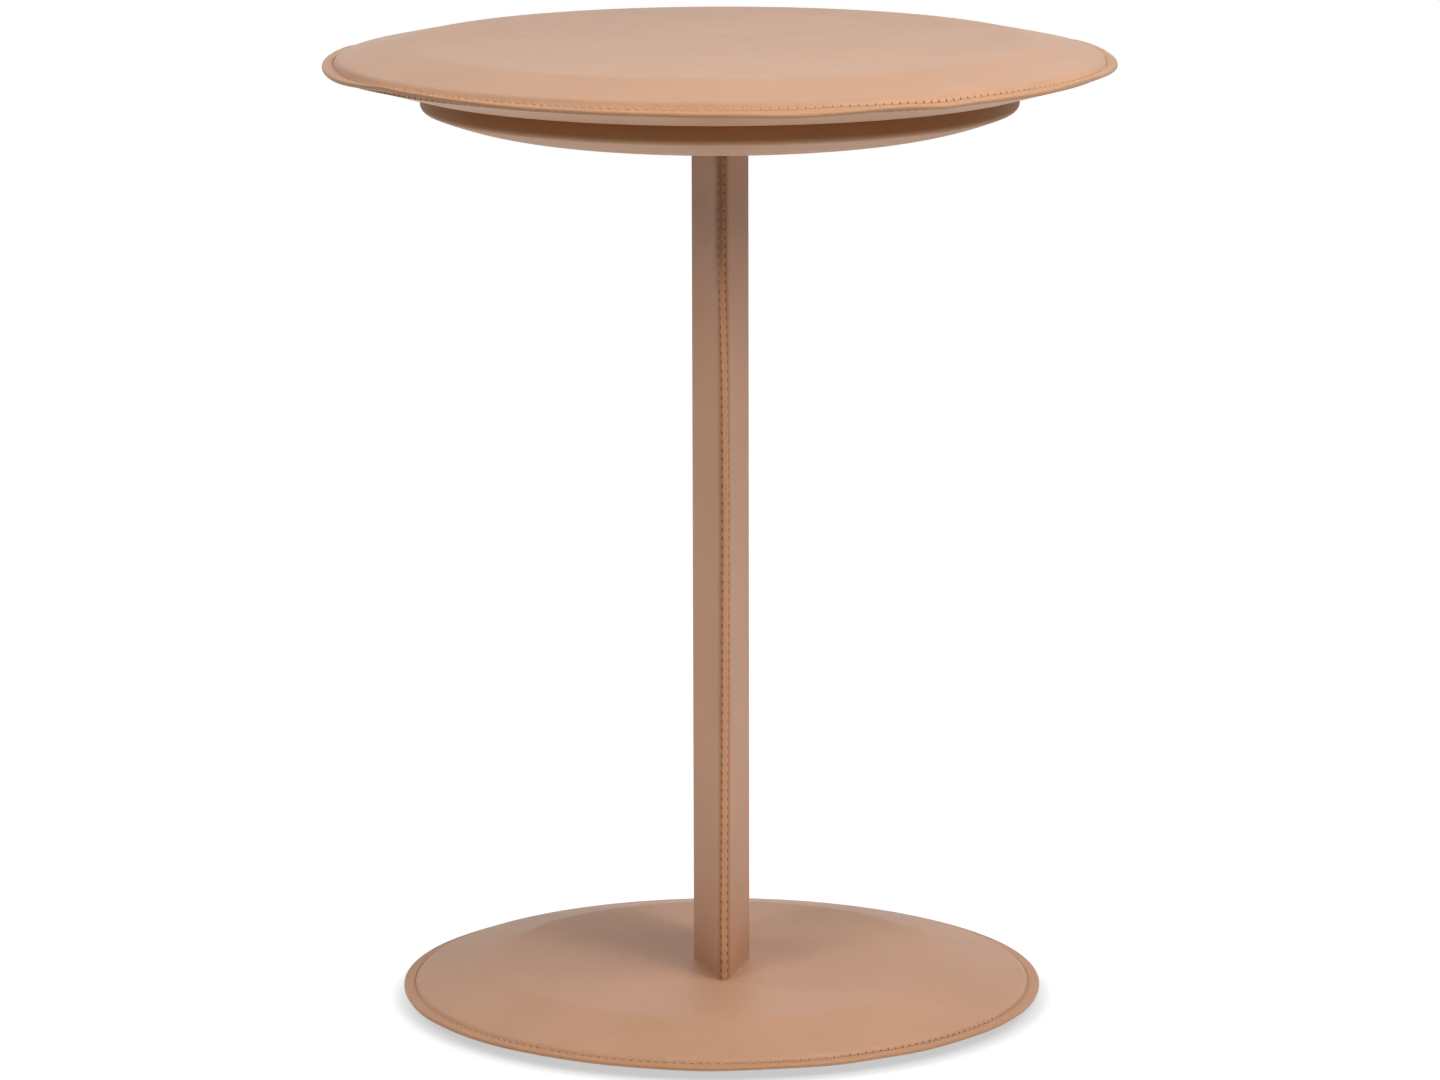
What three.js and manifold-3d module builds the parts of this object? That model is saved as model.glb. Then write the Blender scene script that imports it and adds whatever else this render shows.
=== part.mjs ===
// A round side table wrapped in saddle leather: a lens-shaped top on a smaller mounting disc, a narrow
// column with a sewn fin at its front and rear, and a lens-shaped iron-weighted base. Millimetres, +Z up,
// with the origin on the floor under the middle of the column. The front fin points to -Y.

import * as THREE from 'three';
import { mergeVertices } from 'three/addons/utils/BufferGeometryUtils.js';
import Module from 'manifold-3d';

const wasm = await Module();
wasm.setup();

// Overall sizes
const tableHeight = 557;
const tabletopRadius = 225;
const baseRadius = 185;

// Leather skins. Two skins meet face to face at a seam, and their sewn margin is the flange.
const leather = 1.3;
const glueLine = 0.3;
const flangeWidth = 6.4;
const shoulderHeight = 1.9;
const creaseRadius = 40;

// Tabletop, measured up and down from the seam between its skins
const tabletopRise = 12.2;
const tabletopPlateauRadius = 177;
const undersideDrop = 13.8;
const undersidePlateauRadius = 179;

// Mounting disc: a plain wall, a rounded edge, then a domed underside with a flat seat for the column. The
// slope, in degrees from level, is the dome's at the wall.
const mountingDiscRadius = 170;
const mountingWallHeight = 11;
const wallEdgeRadius = 4;
const domeEdgeSlope = 22;
const domeDepth = 13;
const columnSeatRadius = 109;
const turnInWidth = 14;

// Column, from fin tip to fin tip and between the side corners before they are rounded
const columnDepth = 103;
const columnWidth = 32.7;
const sideCornerRadius = 4;

// Base, measured up from the seam between its skins
const baseRise = 13.5;
const basePlateauRadius = 131;

// Tie rods that clamp the base, the column and the mounting disc together
const rodRadius = 4;
const rodSpacing = 40;
const rodProtrusion = 1;
const rodChamfer = 0.8;
const nutAcrossFlats = 13;
const topNutHeight = 6.5;
const bottomNutHeight = 4;
const rodWasherRadius = 8;
const rodWasherThickness = 1.6;
const spannerRoom = 1.5;

// Spreader plate in its pocket in the mounting disc
const spreaderWidth = 50;
const spreaderLength = 120;
const spreaderThickness = 4;
const spreaderCornerRadius = 8;
const pocketMargin = 2;
const pocketHeadroom = 1;

// Machine screws that hold the tabletop down, set in from the edge of the column's seat, and the threaded
// inserts that they run into
const screwRadius = 3;
const screwHeadRadius = 5.25;
const screwHeadHeight = 3.3;
const screwReach = 10;
const screwSocket = 4;
const screwSocketDepth = 2;
const screwInset = 19;
const screwPocketRadius = 8.5;
const screwPocketDepth = 6;
const screwWasherRadius = 7.5;
const screwWasherThickness = 1.6;
const insertRadius = 5;
const insertLength = 13;

// Glides, set in from the base's rim, and the screws that hold them to the ballast disc
const glideHeight = 5.7;
const glideRadius = 14;
const glideChamfer = 1.5;
const glideInset = 50;
const glidePocketRadius = 5;
const glidePocketDepth = 3.2;
const glideScrewRadius = 2;
const glideScrewHeadRadius = 3.8;
const glideScrewHeadHeight = 2.2;
const glideScrewReach = 6;
const glideScrewSocket = 2.5;
const glideScrewSocketDepth = 1.2;

// Clearances and cuts
const holeClearance = 0.3;
const screwTipChamfer = 0.6;
const cutOverrun = 1;

// Facets round a full turn, along a curve and along the dome, and the widest turn of one facet in an arc
const discSides = 52;
const glideSides = 20;
const holeSides = 12;
const nutSides = 6;
const curveSteps = 2;
const domeSteps = 3;
const facetTurn = Math.PI / 5;

// Share of a button head's radius that its flat crown takes
const crownShare = 0.55;

// Levels above the floor
const baseSeamLevel = glideHeight + leather;
const ballastBottomLevel = baseSeamLevel + glueLine;
const columnFootLevel = baseSeamLevel + baseRise;
const tabletopSeamLevel = tableHeight - tabletopRise;
const undersideLevel = tabletopSeamLevel - undersideDrop;
const mountingDiscHeight = mountingWallHeight + domeDepth;
const columnTopLevel = undersideLevel - mountingDiscHeight;
const columnLength = columnTopLevel - columnFootLevel;

// A skin folded tight over a sharp edge is rounded by its own thickness.
const foldRadius = leather;

// Depths of the pockets, from what they hold
const skinAndGlue = leather + glueLine;
const rodPocketDepth = rodWasherThickness + bottomNutHeight + rodProtrusion;
const rodStackHeight = rodWasherThickness + topNutHeight + rodProtrusion;
const spreaderPocketDepth = spreaderThickness + rodStackHeight + pocketHeadroom;
const rodPlaces = [
  [0, -rodSpacing / 2],
  [0, rodSpacing / 2],
];
const rodSides = ['front', 'rear'];
const circleSides = ['rear_right', 'rear_left', 'front_left', 'front_right'];

// Materials
const saddleLeather = new THREE.MeshStandardMaterial({ color: 0xcfa586, roughness: 0.62 });
const plywood = new THREE.MeshStandardMaterial({ color: 0xd8bd90, roughness: 0.75 });
const hardwood = new THREE.MeshStandardMaterial({ color: 0xb98d5c, roughness: 0.7 });
const castIron = new THREE.MeshStandardMaterial({ color: 0x4a4a4c, roughness: 0.8, metalness: 0.7 });
const zincSteel = new THREE.MeshStandardMaterial({ color: 0xb9bcc0, roughness: 0.4, metalness: 1 });
const brass = new THREE.MeshStandardMaterial({ color: 0xc9a55a, roughness: 0.4, metalness: 1 });
const nylon = new THREE.MeshStandardMaterial({ color: 0x2b2724, roughness: 0.55 });

// A corner of an outline, with the radius that rounds it
function corner(x, y, radius = 0) {
  return { point: new THREE.Vector2(x, y), radius };
}

// The unit vector from one point to another
function direction(from, to) {
  return to.clone().sub(from).normalize();
}

// Moves a line of points sideways, to the right of its direction, with mitred corners.
function offsetLine(points, distance) {
  const normals = points.slice(1).map((point, i) => {
    const along = direction(points[i], point);
    return new THREE.Vector2(along.y, -along.x);
  });
  return points.map((point, i) => {
    const before = normals[Math.max(i - 1, 0)];
    const after = normals[Math.min(i, normals.length - 1)];
    const mitre = before.clone().add(after);
    return point.clone().addScaledVector(mitre, (2 * distance) / mitre.lengthSq());
  });
}

// Points of the arc that rounds the corner at one point of a line
function cornerArc(before, point, after, radius) {
  const into = direction(before, point);
  const turn = Math.atan2(into.cross(direction(point, after)), into.dot(direction(point, after)));
  const start = point.clone().addScaledVector(into, -radius * Math.tan(Math.abs(turn) / 2));
  const towardsCentre = new THREE.Vector2(-into.y, into.x).multiplyScalar(Math.sign(turn) * radius);
  const centre = start.clone().add(towardsCentre);
  const steps = Math.ceil(Math.abs(turn) / facetTurn);
  return Array.from({ length: steps + 1 }, (_, step) =>
    start.clone().rotateAround(centre, (turn * step) / steps),
  );
}

// The line through some corners, moved to the right by a depth. A corner's radius grows or shrinks by
// that depth, as it does on a skin bent round a form.
function faceLine(corners, depth) {
  const points = offsetLine(corners.map(({ point }) => point), depth);
  return points.flatMap((point, i) => {
    const { radius } = corners[i];
    if (radius === 0) return [point];
    const before = points[i - 1];
    const after = points[i + 1];
    const turnsLeft = direction(before, point).cross(direction(point, after)) > 0;
    const rounded = turnsLeft ? radius + depth : radius - depth;
    return rounded > 0 ? cornerArc(before, point, after, rounded) : [point];
  });
}

// The same profile upside down, still running clockwise
function mirrored(profile) {
  return profile.map(({ x, y }) => new THREE.Vector2(x, -y)).reverse();
}

// A closed geometry as a solid that can be joined and cut
function solid(geometry) {
  geometry.deleteAttribute('normal');
  geometry.deleteAttribute('uv');
  const merged = mergeVertices(geometry);
  const index = Array.from(merged.index.array);
  const triangles = [];
  for (let i = 0; i < index.length; i += 3) {
    const [a, b, c] = index.slice(i, i + 3);
    if (a !== b && b !== c && c !== a) triangles.push(a, b, c);
  }
  const mesh = new wasm.Mesh({
    numProp: 3,
    vertProperties: new Float32Array(merged.attributes.position.array),
    triVerts: new Uint32Array(triangles),
  });
  return new wasm.Manifold(mesh);
}

// Turns a profile round the Z axis. The profile runs clockwise: outwards over the top, back underneath.
function revolve(profile, sides) {
  const geometry = new THREE.LatheGeometry([...profile].reverse(), sides);
  geometry.rotateX(Math.PI / 2);
  return solid(geometry);
}

// A straight round bar along Z, which is also the cutter for a hole
function bar(radius, bottom, top, sides = holeSides) {
  const geometry = new THREE.CylinderGeometry(radius, radius, top - bottom, sides);
  geometry.rotateX(Math.PI / 2);
  geometry.translate(0, 0, (bottom + top) / 2);
  return solid(geometry);
}

// A hexagonal bar along Z, by its width across flats
function hexBar(acrossFlats, bottom, top) {
  return bar(acrossFlats / 2 / Math.cos(Math.PI / nutSides), bottom, top, nutSides);
}

// An outline raised along Z
function prism(outline, bottom, top) {
  const geometry = new THREE.ExtrudeGeometry(outline, {
    depth: top - bottom,
    bevelEnabled: false,
    curveSegments: curveSteps,
  });
  geometry.translate(0, 0, bottom);
  return solid(geometry);
}

// Copies of one cutter at some places in plan, as one cutter
function atPlaces(part, places) {
  return places.map(([x, y]) => part.translate([x, y, 0])).reduce((all, copy) => all.add(copy));
}

// Fastener places on a circle, the first one between +X and +Y
function circlePlaces(radius) {
  return circleSides.map((_, i) => {
    const angle = ((i + 1 / 2) * 2 * Math.PI) / circleSides.length;
    return [radius * Math.cos(angle), radius * Math.sin(angle)];
  });
}

// A named mesh from a solid
function piece(name, part, material) {
  const { vertProperties, triVerts } = part.getMesh();
  const geometry = new THREE.BufferGeometry();
  geometry.setAttribute('position', new THREE.BufferAttribute(vertProperties, 3));
  geometry.setIndex(new THREE.BufferAttribute(triVerts, 1));
  geometry.computeVertexNormals();
  const mesh = new THREE.Mesh(geometry, material);
  mesh.name = name;
  return mesh;
}

// One mesh of the same solid for each place in plan, named after the side that it is on
function piecesAt(name, part, material, places, sides) {
  return places.map(([x, y], i) => {
    const copy = piece(`${name}_${sides[i]}`, part, material);
    copy.position.set(x, y, 0);
    return copy;
  });
}

// A group of pieces whose own zero level stands at a height above the floor
function assembly(level, pieces) {
  const group = new THREE.Group();
  group.position.z = level;
  group.add(...pieces);
  return group;
}

// A flat ring: washer or threaded insert
function ring(outerRadius, innerRadius, bottom, top) {
  const profile = [
    new THREE.Vector2(innerRadius, top),
    new THREE.Vector2(outerRadius, top),
    new THREE.Vector2(outerRadius, bottom),
    new THREE.Vector2(innerRadius, bottom),
    new THREE.Vector2(innerRadius, top),
  ];
  return revolve(profile, holeSides);
}

// A button-head screw that points up, with its bearing face at zero
function buttonScrew({ radius, headRadius, headHeight, length, socket, socketDepth }) {
  const dome = new THREE.QuadraticBezierCurve(
    new THREE.Vector2(headRadius, 0),
    new THREE.Vector2(headRadius, -headHeight * crownShare),
    new THREE.Vector2(headRadius * crownShare, -headHeight),
  );
  const profile = [
    new THREE.Vector2(0, length),
    new THREE.Vector2(radius - screwTipChamfer, length),
    new THREE.Vector2(radius, length - screwTipChamfer),
    new THREE.Vector2(radius, 0),
    ...dome.getPoints(curveSteps),
    new THREE.Vector2(0, -headHeight),
  ];
  const socketCut = hexBar(socket, -headHeight - cutOverrun, socketDepth - headHeight);
  return revolve(profile, holeSides).subtract(socketCut);
}

// A hexagon nut standing on a level
function nut(height, bottom) {
  const bore = bar(rodRadius + holeClearance, bottom - cutOverrun, bottom + height + cutOverrun);
  return hexBar(nutAcrossFlats, bottom, bottom + height).subtract(bore);
}

// A washer of the tie rods
function rodWasher(bottom) {
  return ring(rodWasherRadius, rodRadius + holeClearance, bottom, bottom + rodWasherThickness);
}

// Corners of a lens-shaped skin's outer face, from the axis outwards: a flat plateau, a bevel, a shoulder
// where the skin turns over the core's edge, and the flange.
function lensCorners(rimRadius, plateauRadius, rise) {
  const grooveRadius = rimRadius - flangeWidth;
  return [
    corner(0, rise),
    corner(plateauRadius, rise, creaseRadius),
    corner(grooveRadius, leather + shoulderHeight, foldRadius),
    corner(grooveRadius, leather),
    corner(rimRadius, leather),
  ];
}

// Profile of the skin behind such a face
function lensSkin(corners) {
  return [...faceLine(corners, 0), ...faceLine(corners, leather).reverse()];
}

// The core's line under such a face, from the axis to the foot of the shoulder
function lensCoreLine(corners) {
  return faceLine(corners.slice(0, -1), skinAndGlue);
}

// Tabletop: a bevelled plywood disc between two skins
const tabletopTopCorners = lensCorners(tabletopRadius, tabletopPlateauRadius, tabletopRise);
const tabletopUnderCorners = lensCorners(tabletopRadius, undersidePlateauRadius, undersideDrop);
const screwPlaces = circlePlaces(columnSeatRadius - screwInset);
const screwHole = screwRadius + holeClearance;

function tabletopCore() {
  const profile = [
    ...lensCoreLine(tabletopTopCorners),
    ...mirrored(lensCoreLine(tabletopUnderCorners)),
  ];
  const bottom = skinAndGlue - undersideDrop;
  const insertHole = bar(insertRadius + holeClearance, bottom - cutOverrun, bottom + insertLength);
  return revolve(profile, discSides).subtract(atPlaces(insertHole, screwPlaces));
}

function tabletopLowerSkin() {
  const hole = bar(screwHole, -undersideDrop - cutOverrun, leather - undersideDrop + cutOverrun);
  const skin = revolve(mirrored(lensSkin(tabletopUnderCorners)), discSides);
  return skin.subtract(atPlaces(hole, screwPlaces));
}

function threadedInsert() {
  const bottom = skinAndGlue - undersideDrop;
  return ring(insertRadius, screwHole, bottom, bottom + insertLength);
}

const tabletop = assembly(tabletopSeamLevel, [
  piece('tabletop_upper_skin', revolve(lensSkin(tabletopTopCorners), discSides), saddleLeather),
  piece('tabletop_core', tabletopCore(), plywood),
  piece('tabletop_lower_skin', tabletopLowerSkin(), saddleLeather),
  ...piecesAt('threaded_insert', threadedInsert(), brass, screwPlaces, circleSides),
]);

// Mounting disc, with its zero level at the tabletop's underside. The skin's outer face runs from the edge
// that is turned in over the core, down the wall and along the dome to the axis. The dome leaves the wall at
// its slope and runs out level at the seat.
const domeSlopeRun = domeDepth / Math.tan(THREE.MathUtils.degToRad(domeEdgeSlope));
const domeLine = new THREE.QuadraticBezierCurve(
  new THREE.Vector2(mountingDiscRadius, -mountingWallHeight),
  new THREE.Vector2(mountingDiscRadius - domeSlopeRun, -mountingDiscHeight),
  new THREE.Vector2(columnSeatRadius, -mountingDiscHeight),
);
const [, ...domePoints] = domeLine.getPoints(domeSteps);
const mountingCorners = [
  corner(mountingDiscRadius - turnInWidth, 0),
  corner(mountingDiscRadius, 0, foldRadius),
  corner(mountingDiscRadius, -mountingWallHeight, wallEdgeRadius),
  ...domePoints.map(({ x, y }) => corner(x, y)),
  corner(0, -mountingDiscHeight),
];
const rodHole = bar(rodRadius + holeClearance, -mountingDiscHeight - cutOverrun, cutOverrun);
const screwPocketFloor = screwPocketDepth - mountingDiscHeight;
const screwPocket = bar(screwPocketRadius, -mountingDiscHeight - cutOverrun, screwPocketFloor);

function roundedRectangle(width, length, radius) {
  const x = width / 2 - radius;
  const y = length / 2 - radius;
  const outline = new THREE.Shape();
  outline.absarc(x, y, radius, 0, Math.PI / 2);
  outline.absarc(-x, y, radius, Math.PI / 2, Math.PI);
  outline.absarc(-x, -y, radius, Math.PI, (3 * Math.PI) / 2);
  outline.absarc(x, -y, radius, (3 * Math.PI) / 2, 2 * Math.PI);
  outline.closePath();
  return outline;
}

function mountingDiscSkin() {
  const profile = [...faceLine(mountingCorners, leather).reverse(), ...faceLine(mountingCorners, 0)];
  return revolve(profile, discSides)
    .subtract(atPlaces(rodHole, rodPlaces))
    .subtract(atPlaces(screwPocket, screwPlaces));
}

function mountingDiscCore() {
  const [, ...coveredLine] = faceLine(mountingCorners, skinAndGlue);
  const rebateRadius = mountingDiscRadius - turnInWidth - glueLine;
  const profile = [
    new THREE.Vector2(0, 0),
    new THREE.Vector2(rebateRadius, 0),
    new THREE.Vector2(rebateRadius, -skinAndGlue),
    ...coveredLine,
  ];
  const pocketOutline = roundedRectangle(
    spreaderWidth + 2 * pocketMargin,
    spreaderLength + 2 * pocketMargin,
    spreaderCornerRadius + pocketMargin,
  );
  const screwShankHole = bar(screwHole, -mountingDiscHeight, cutOverrun);
  return revolve(profile, discSides)
    .subtract(prism(pocketOutline, -spreaderPocketDepth, cutOverrun))
    .subtract(atPlaces(rodHole, rodPlaces))
    .subtract(atPlaces(screwPocket, screwPlaces))
    .subtract(atPlaces(screwShankHole, screwPlaces));
}

function spreaderPlate() {
  const outline = roundedRectangle(spreaderWidth, spreaderLength, spreaderCornerRadius);
  const plate = prism(outline, -spreaderPocketDepth, spreaderThickness - spreaderPocketDepth);
  return plate.subtract(atPlaces(rodHole, rodPlaces));
}

const screwBearing = screwPocketFloor - screwWasherThickness;

// A tabletop screw runs up through the disc and the tabletop's lower skin into its insert.
function tabletopScrew() {
  const screw = buttonScrew({
    radius: screwRadius,
    headRadius: screwHeadRadius,
    headHeight: screwHeadHeight,
    length: skinAndGlue - screwBearing + screwReach,
    socket: screwSocket,
    socketDepth: screwSocketDepth,
  });
  return screw.translate([0, 0, screwBearing]);
}

const tabletopWasher = ring(screwWasherRadius, screwHole, screwBearing, screwPocketFloor);

const mountingDisc = assembly(undersideLevel, [
  piece('mounting_disc_core', mountingDiscCore(), plywood),
  piece('mounting_disc_skin', mountingDiscSkin(), saddleLeather),
  piece('spreader_plate', spreaderPlate(), zincSteel),
  ...piecesAt('tabletop_screw', tabletopScrew(), zincSteel, screwPlaces, circleSides),
  ...piecesAt('tabletop_washer', tabletopWasher, zincSteel, screwPlaces, circleSides),
]);

// Column, with its zero level on the base. The left skin's outer face runs along the front fin, out to the
// side corner and back to the rear fin. The inner faces of the fins lie on the middle plane.
const finRootDepth = columnDepth / 2 - flangeWidth;
const columnCorners = [
  corner(-leather, -columnDepth / 2),
  corner(-leather, -finRootDepth, foldRadius),
  corner(-columnWidth / 2, 0, sideCornerRadius),
  corner(-leather, finRootDepth, foldRadius),
  corner(-leather, columnDepth / 2),
];

function columnLeftSkin() {
  const outline = [...faceLine(columnCorners, 0), ...faceLine(columnCorners, leather).reverse()];
  return prism(new THREE.Shape(outline), 0, columnLength);
}

// The left half of the column's core is a long triangle, grooved on its flat face for the tie rods.
function columnCoreLeft() {
  const [, root, side] = offsetLine(columnCorners.map(({ point }) => point), skinAndGlue);
  const glueFace = -glueLine / 2;
  const along = direction(root, side);
  const edge = root.clone().addScaledVector(along, (glueFace - root.x) / along.x);
  const corners = [
    corner(glueFace, edge.y),
    corner(side.x, 0, sideCornerRadius - skinAndGlue),
    corner(glueFace, -edge.y),
  ];
  const groove = bar(rodRadius + holeClearance, -cutOverrun, columnLength + cutOverrun);
  const half = prism(new THREE.Shape(faceLine(corners, 0)), 0, columnLength);
  return half.subtract(atPlaces(groove, rodPlaces));
}

const leftSkin = columnLeftSkin();
const leftCore = columnCoreLeft();
const column = assembly(columnFootLevel, [
  piece('column_left_skin', leftSkin, saddleLeather),
  piece('column_right_skin', leftSkin.mirror([1, 0, 0]), saddleLeather),
  piece('column_core_left', leftCore, hardwood),
  piece('column_core_right', leftCore.mirror([1, 0, 0]), hardwood),
]);

// Tie rods with their nuts and washers, at levels above the floor
const rodBottomLevel = ballastBottomLevel;
const rodTopLevel = undersideLevel - pocketHeadroom;
const lowerWasherLevel = ballastBottomLevel + rodPocketDepth - rodWasherThickness;
const upperWasherLevel = undersideLevel - spreaderPocketDepth + spreaderThickness;

function tieRod() {
  const profile = [
    new THREE.Vector2(0, rodTopLevel),
    new THREE.Vector2(rodRadius - rodChamfer, rodTopLevel),
    new THREE.Vector2(rodRadius, rodTopLevel - rodChamfer),
    new THREE.Vector2(rodRadius, rodBottomLevel + rodChamfer),
    new THREE.Vector2(rodRadius - rodChamfer, rodBottomLevel),
    new THREE.Vector2(0, rodBottomLevel),
  ];
  return revolve(profile, holeSides);
}

const tieParts = {
  tie_rod: tieRod(),
  tie_nut_top: nut(topNutHeight, upperWasherLevel + rodWasherThickness),
  tie_washer_top: rodWasher(upperWasherLevel),
  tie_nut_bottom: nut(bottomNutHeight, lowerWasherLevel - bottomNutHeight),
  tie_washer_bottom: rodWasher(lowerWasherLevel),
};
const tieHardware = assembly(
  0,
  Object.entries(tieParts).flatMap(([name, part]) => piecesAt(name, part, zincSteel, rodPlaces, rodSides)),
);

// Base: a bevelled iron disc between two skins, with its zero level at their seam
const baseCorners = lensCorners(baseRadius, basePlateauRadius, baseRise);
const glidePlaces = circlePlaces(baseRadius - glideInset);
const rodPocketRadius = rodWasherRadius + spannerRoom;
const glideScrewHole = glideScrewRadius + holeClearance;

function ballastDisc() {
  const edgeRadius = baseRadius - flangeWidth - skinAndGlue;
  const profile = [
    ...lensCoreLine(baseCorners),
    new THREE.Vector2(edgeRadius, glueLine),
    new THREE.Vector2(0, glueLine),
  ];
  const rodPocket = bar(rodPocketRadius, -cutOverrun, glueLine + rodPocketDepth);
  const throughHole = bar(rodRadius + holeClearance, 0, baseRise);
  const tappedHole = bar(glideScrewHole, -cutOverrun, glueLine + glideScrewReach + cutOverrun);
  return revolve(profile, discSides)
    .subtract(atPlaces(rodPocket, rodPlaces))
    .subtract(atPlaces(throughHole, rodPlaces))
    .subtract(atPlaces(tappedHole, glidePlaces));
}

function baseUpperSkin() {
  const hole = bar(rodRadius + holeClearance, baseRise - leather - cutOverrun, baseRise + cutOverrun);
  return revolve(lensSkin(baseCorners), discSides).subtract(atPlaces(hole, rodPlaces));
}

function baseLowerSkin() {
  const spannerHole = bar(rodPocketRadius, -leather - cutOverrun, cutOverrun);
  const screwHoleCut = bar(glideScrewHole, -leather - cutOverrun, cutOverrun);
  return bar(baseRadius, -leather, 0, discSides)
    .subtract(atPlaces(spannerHole, rodPlaces))
    .subtract(atPlaces(screwHoleCut, glidePlaces));
}

const base = assembly(baseSeamLevel, [
  piece('base_upper_skin', baseUpperSkin(), saddleLeather),
  piece('ballast_disc', ballastDisc(), castIron),
  piece('base_lower_skin', baseLowerSkin(), saddleLeather),
]);

// Glides: turned nylon discs with a pocket for the screw's head, standing on the floor
function glide() {
  const profile = [
    new THREE.Vector2(0, glideHeight),
    new THREE.Vector2(glideRadius, glideHeight),
    new THREE.Vector2(glideRadius, glideChamfer),
    new THREE.Vector2(glideRadius - glideChamfer, 0),
    new THREE.Vector2(0, 0),
  ];
  const headPocket = bar(glidePocketRadius, -cutOverrun, glidePocketDepth);
  const hole = bar(glideScrewHole, 0, glideHeight + cutOverrun);
  return revolve(profile, glideSides).subtract(headPocket).subtract(hole);
}

function glideScrew() {
  const length = ballastBottomLevel + glideScrewReach - glidePocketDepth;
  const screw = buttonScrew({
    radius: glideScrewRadius,
    headRadius: glideScrewHeadRadius,
    headHeight: glideScrewHeadHeight,
    length,
    socket: glideScrewSocket,
    socketDepth: glideScrewSocketDepth,
  });
  return screw.translate([0, 0, glidePocketDepth]);
}

const feet = assembly(0, [
  ...piecesAt('glide', glide(), nylon, glidePlaces, circleSides),
  ...piecesAt('glide_screw', glideScrew(), zincSteel, glidePlaces, circleSides),
]);

const table = new THREE.Group();
table.add(tabletop, mountingDisc, column, tieHardware, base, feet);

export default table;
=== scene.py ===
# %% [markdown]
# # A round side table wrapped in saddle leather
# The table has a lens-shaped top on a smaller disc, a narrow column and a lens-shaped iron base, all covered
# in tan saddle leather that is sewn along its edges. The CAD model is loaded first, because it fixes every
# place and size. What the eye sees is then modelled again round it in finer steps.

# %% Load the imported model
import math

import bpy
from mathutils import Matrix, Vector


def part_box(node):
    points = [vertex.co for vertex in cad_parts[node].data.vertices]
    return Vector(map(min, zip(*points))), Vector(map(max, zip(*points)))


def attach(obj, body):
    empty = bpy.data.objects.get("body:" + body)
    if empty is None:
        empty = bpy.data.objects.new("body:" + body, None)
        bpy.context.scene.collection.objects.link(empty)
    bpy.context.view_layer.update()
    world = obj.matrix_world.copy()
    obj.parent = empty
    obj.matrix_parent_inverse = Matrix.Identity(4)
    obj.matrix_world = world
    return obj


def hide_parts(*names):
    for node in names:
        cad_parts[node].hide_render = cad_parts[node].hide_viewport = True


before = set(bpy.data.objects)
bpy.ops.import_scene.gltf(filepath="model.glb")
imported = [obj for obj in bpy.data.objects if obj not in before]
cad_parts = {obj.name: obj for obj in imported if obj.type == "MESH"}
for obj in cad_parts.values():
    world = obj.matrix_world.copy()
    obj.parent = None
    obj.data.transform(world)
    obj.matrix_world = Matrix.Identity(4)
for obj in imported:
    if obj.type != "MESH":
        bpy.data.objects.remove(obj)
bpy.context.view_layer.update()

MM = 0.001
print("CAD nodes:", len(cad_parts))

# %% [markdown]
# The camera stands about 3.5 m away with a long lens and looks slightly down, as in the photograph. Its place
# and angles are worked out from the outlines of both discs, and it is made first, so that everything that
# follows can be looked at from there.

# %% Camera
CAMERA_PLACE = Vector((-0.1519, -3.4685, 0.9578))
CAMERA_HEADING, CAMERA_PITCH, CAMERA_ROLL = (math.radians(turn) for turn in (2.5, 11.226, -0.126))
SENSOR_WIDTH, FOCAL_LENGTH = 36, 153.854

camera = bpy.data.objects.new("camera", bpy.data.cameras.new("camera"))
bpy.context.scene.collection.objects.link(camera)
camera.data.sensor_width = SENSOR_WIDTH
camera.data.lens = FOCAL_LENGTH
camera.data.clip_end = 50
ahead = Vector((math.sin(CAMERA_HEADING), math.cos(CAMERA_HEADING), -math.tan(CAMERA_PITCH))).normalized()
camera.rotation_mode = "QUATERNION"
camera.rotation_quaternion = ahead.to_track_quat("-Z", "Y") @ Matrix.Rotation(CAMERA_ROLL, 3, "Z").to_quaternion()
camera.location = CAMERA_PLACE
bpy.context.scene.camera = camera
print("camera height above the floor:", round(camera.location.z, 3), "m")

# %% [markdown]
# The CAD nodes give the main sizes. The leather itself needs a few more: its thickness, how wide the sewn
# flange is, and how tightly it is folded at each edge.

# %% Sizes
LEATHER = 1.3 * MM
FLANGE_WIDTH = 6.4 * MM
CORE_EDGE = 1.9 * MM
TOP_SHOULDER = (2.7 * MM, 1.5 * MM, 4.3 * MM)
UNDER_SHOULDER = (1.9 * MM, 0.3 * MM, 1.5 * MM)
BASE_SHOULDER = (2.1 * MM, 1.4 * MM, 3.8 * MM)
TOP_PLATEAU_RADIUS = 177 * MM
UNDERSIDE_PLATEAU_RADIUS = 179 * MM
BASE_PLATEAU_RADIUS = 131 * MM
CREASE_RADIUS = 40 * MM
FOLD_RADIUS = 1.7 * MM
GROOVE_FILLET = 0.5 * MM
CUT_EDGE_RADIUS = 1.1 * MM
SEAM_EDGE_RADIUS = 0.15 * MM
THREAD_RADIUS = 0.38 * MM
STITCH_PITCH = 4.9 * MM
STITCH_INSET = 5.9 * MM
FIN_STITCH_INSET = 3.6 * MM
FIN_EDGE_RADIUS = 0.3 * MM
CHANNEL_DEPTH = 0.2 * MM
CHANNEL_WIDTH = 1.6 * MM

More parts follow.
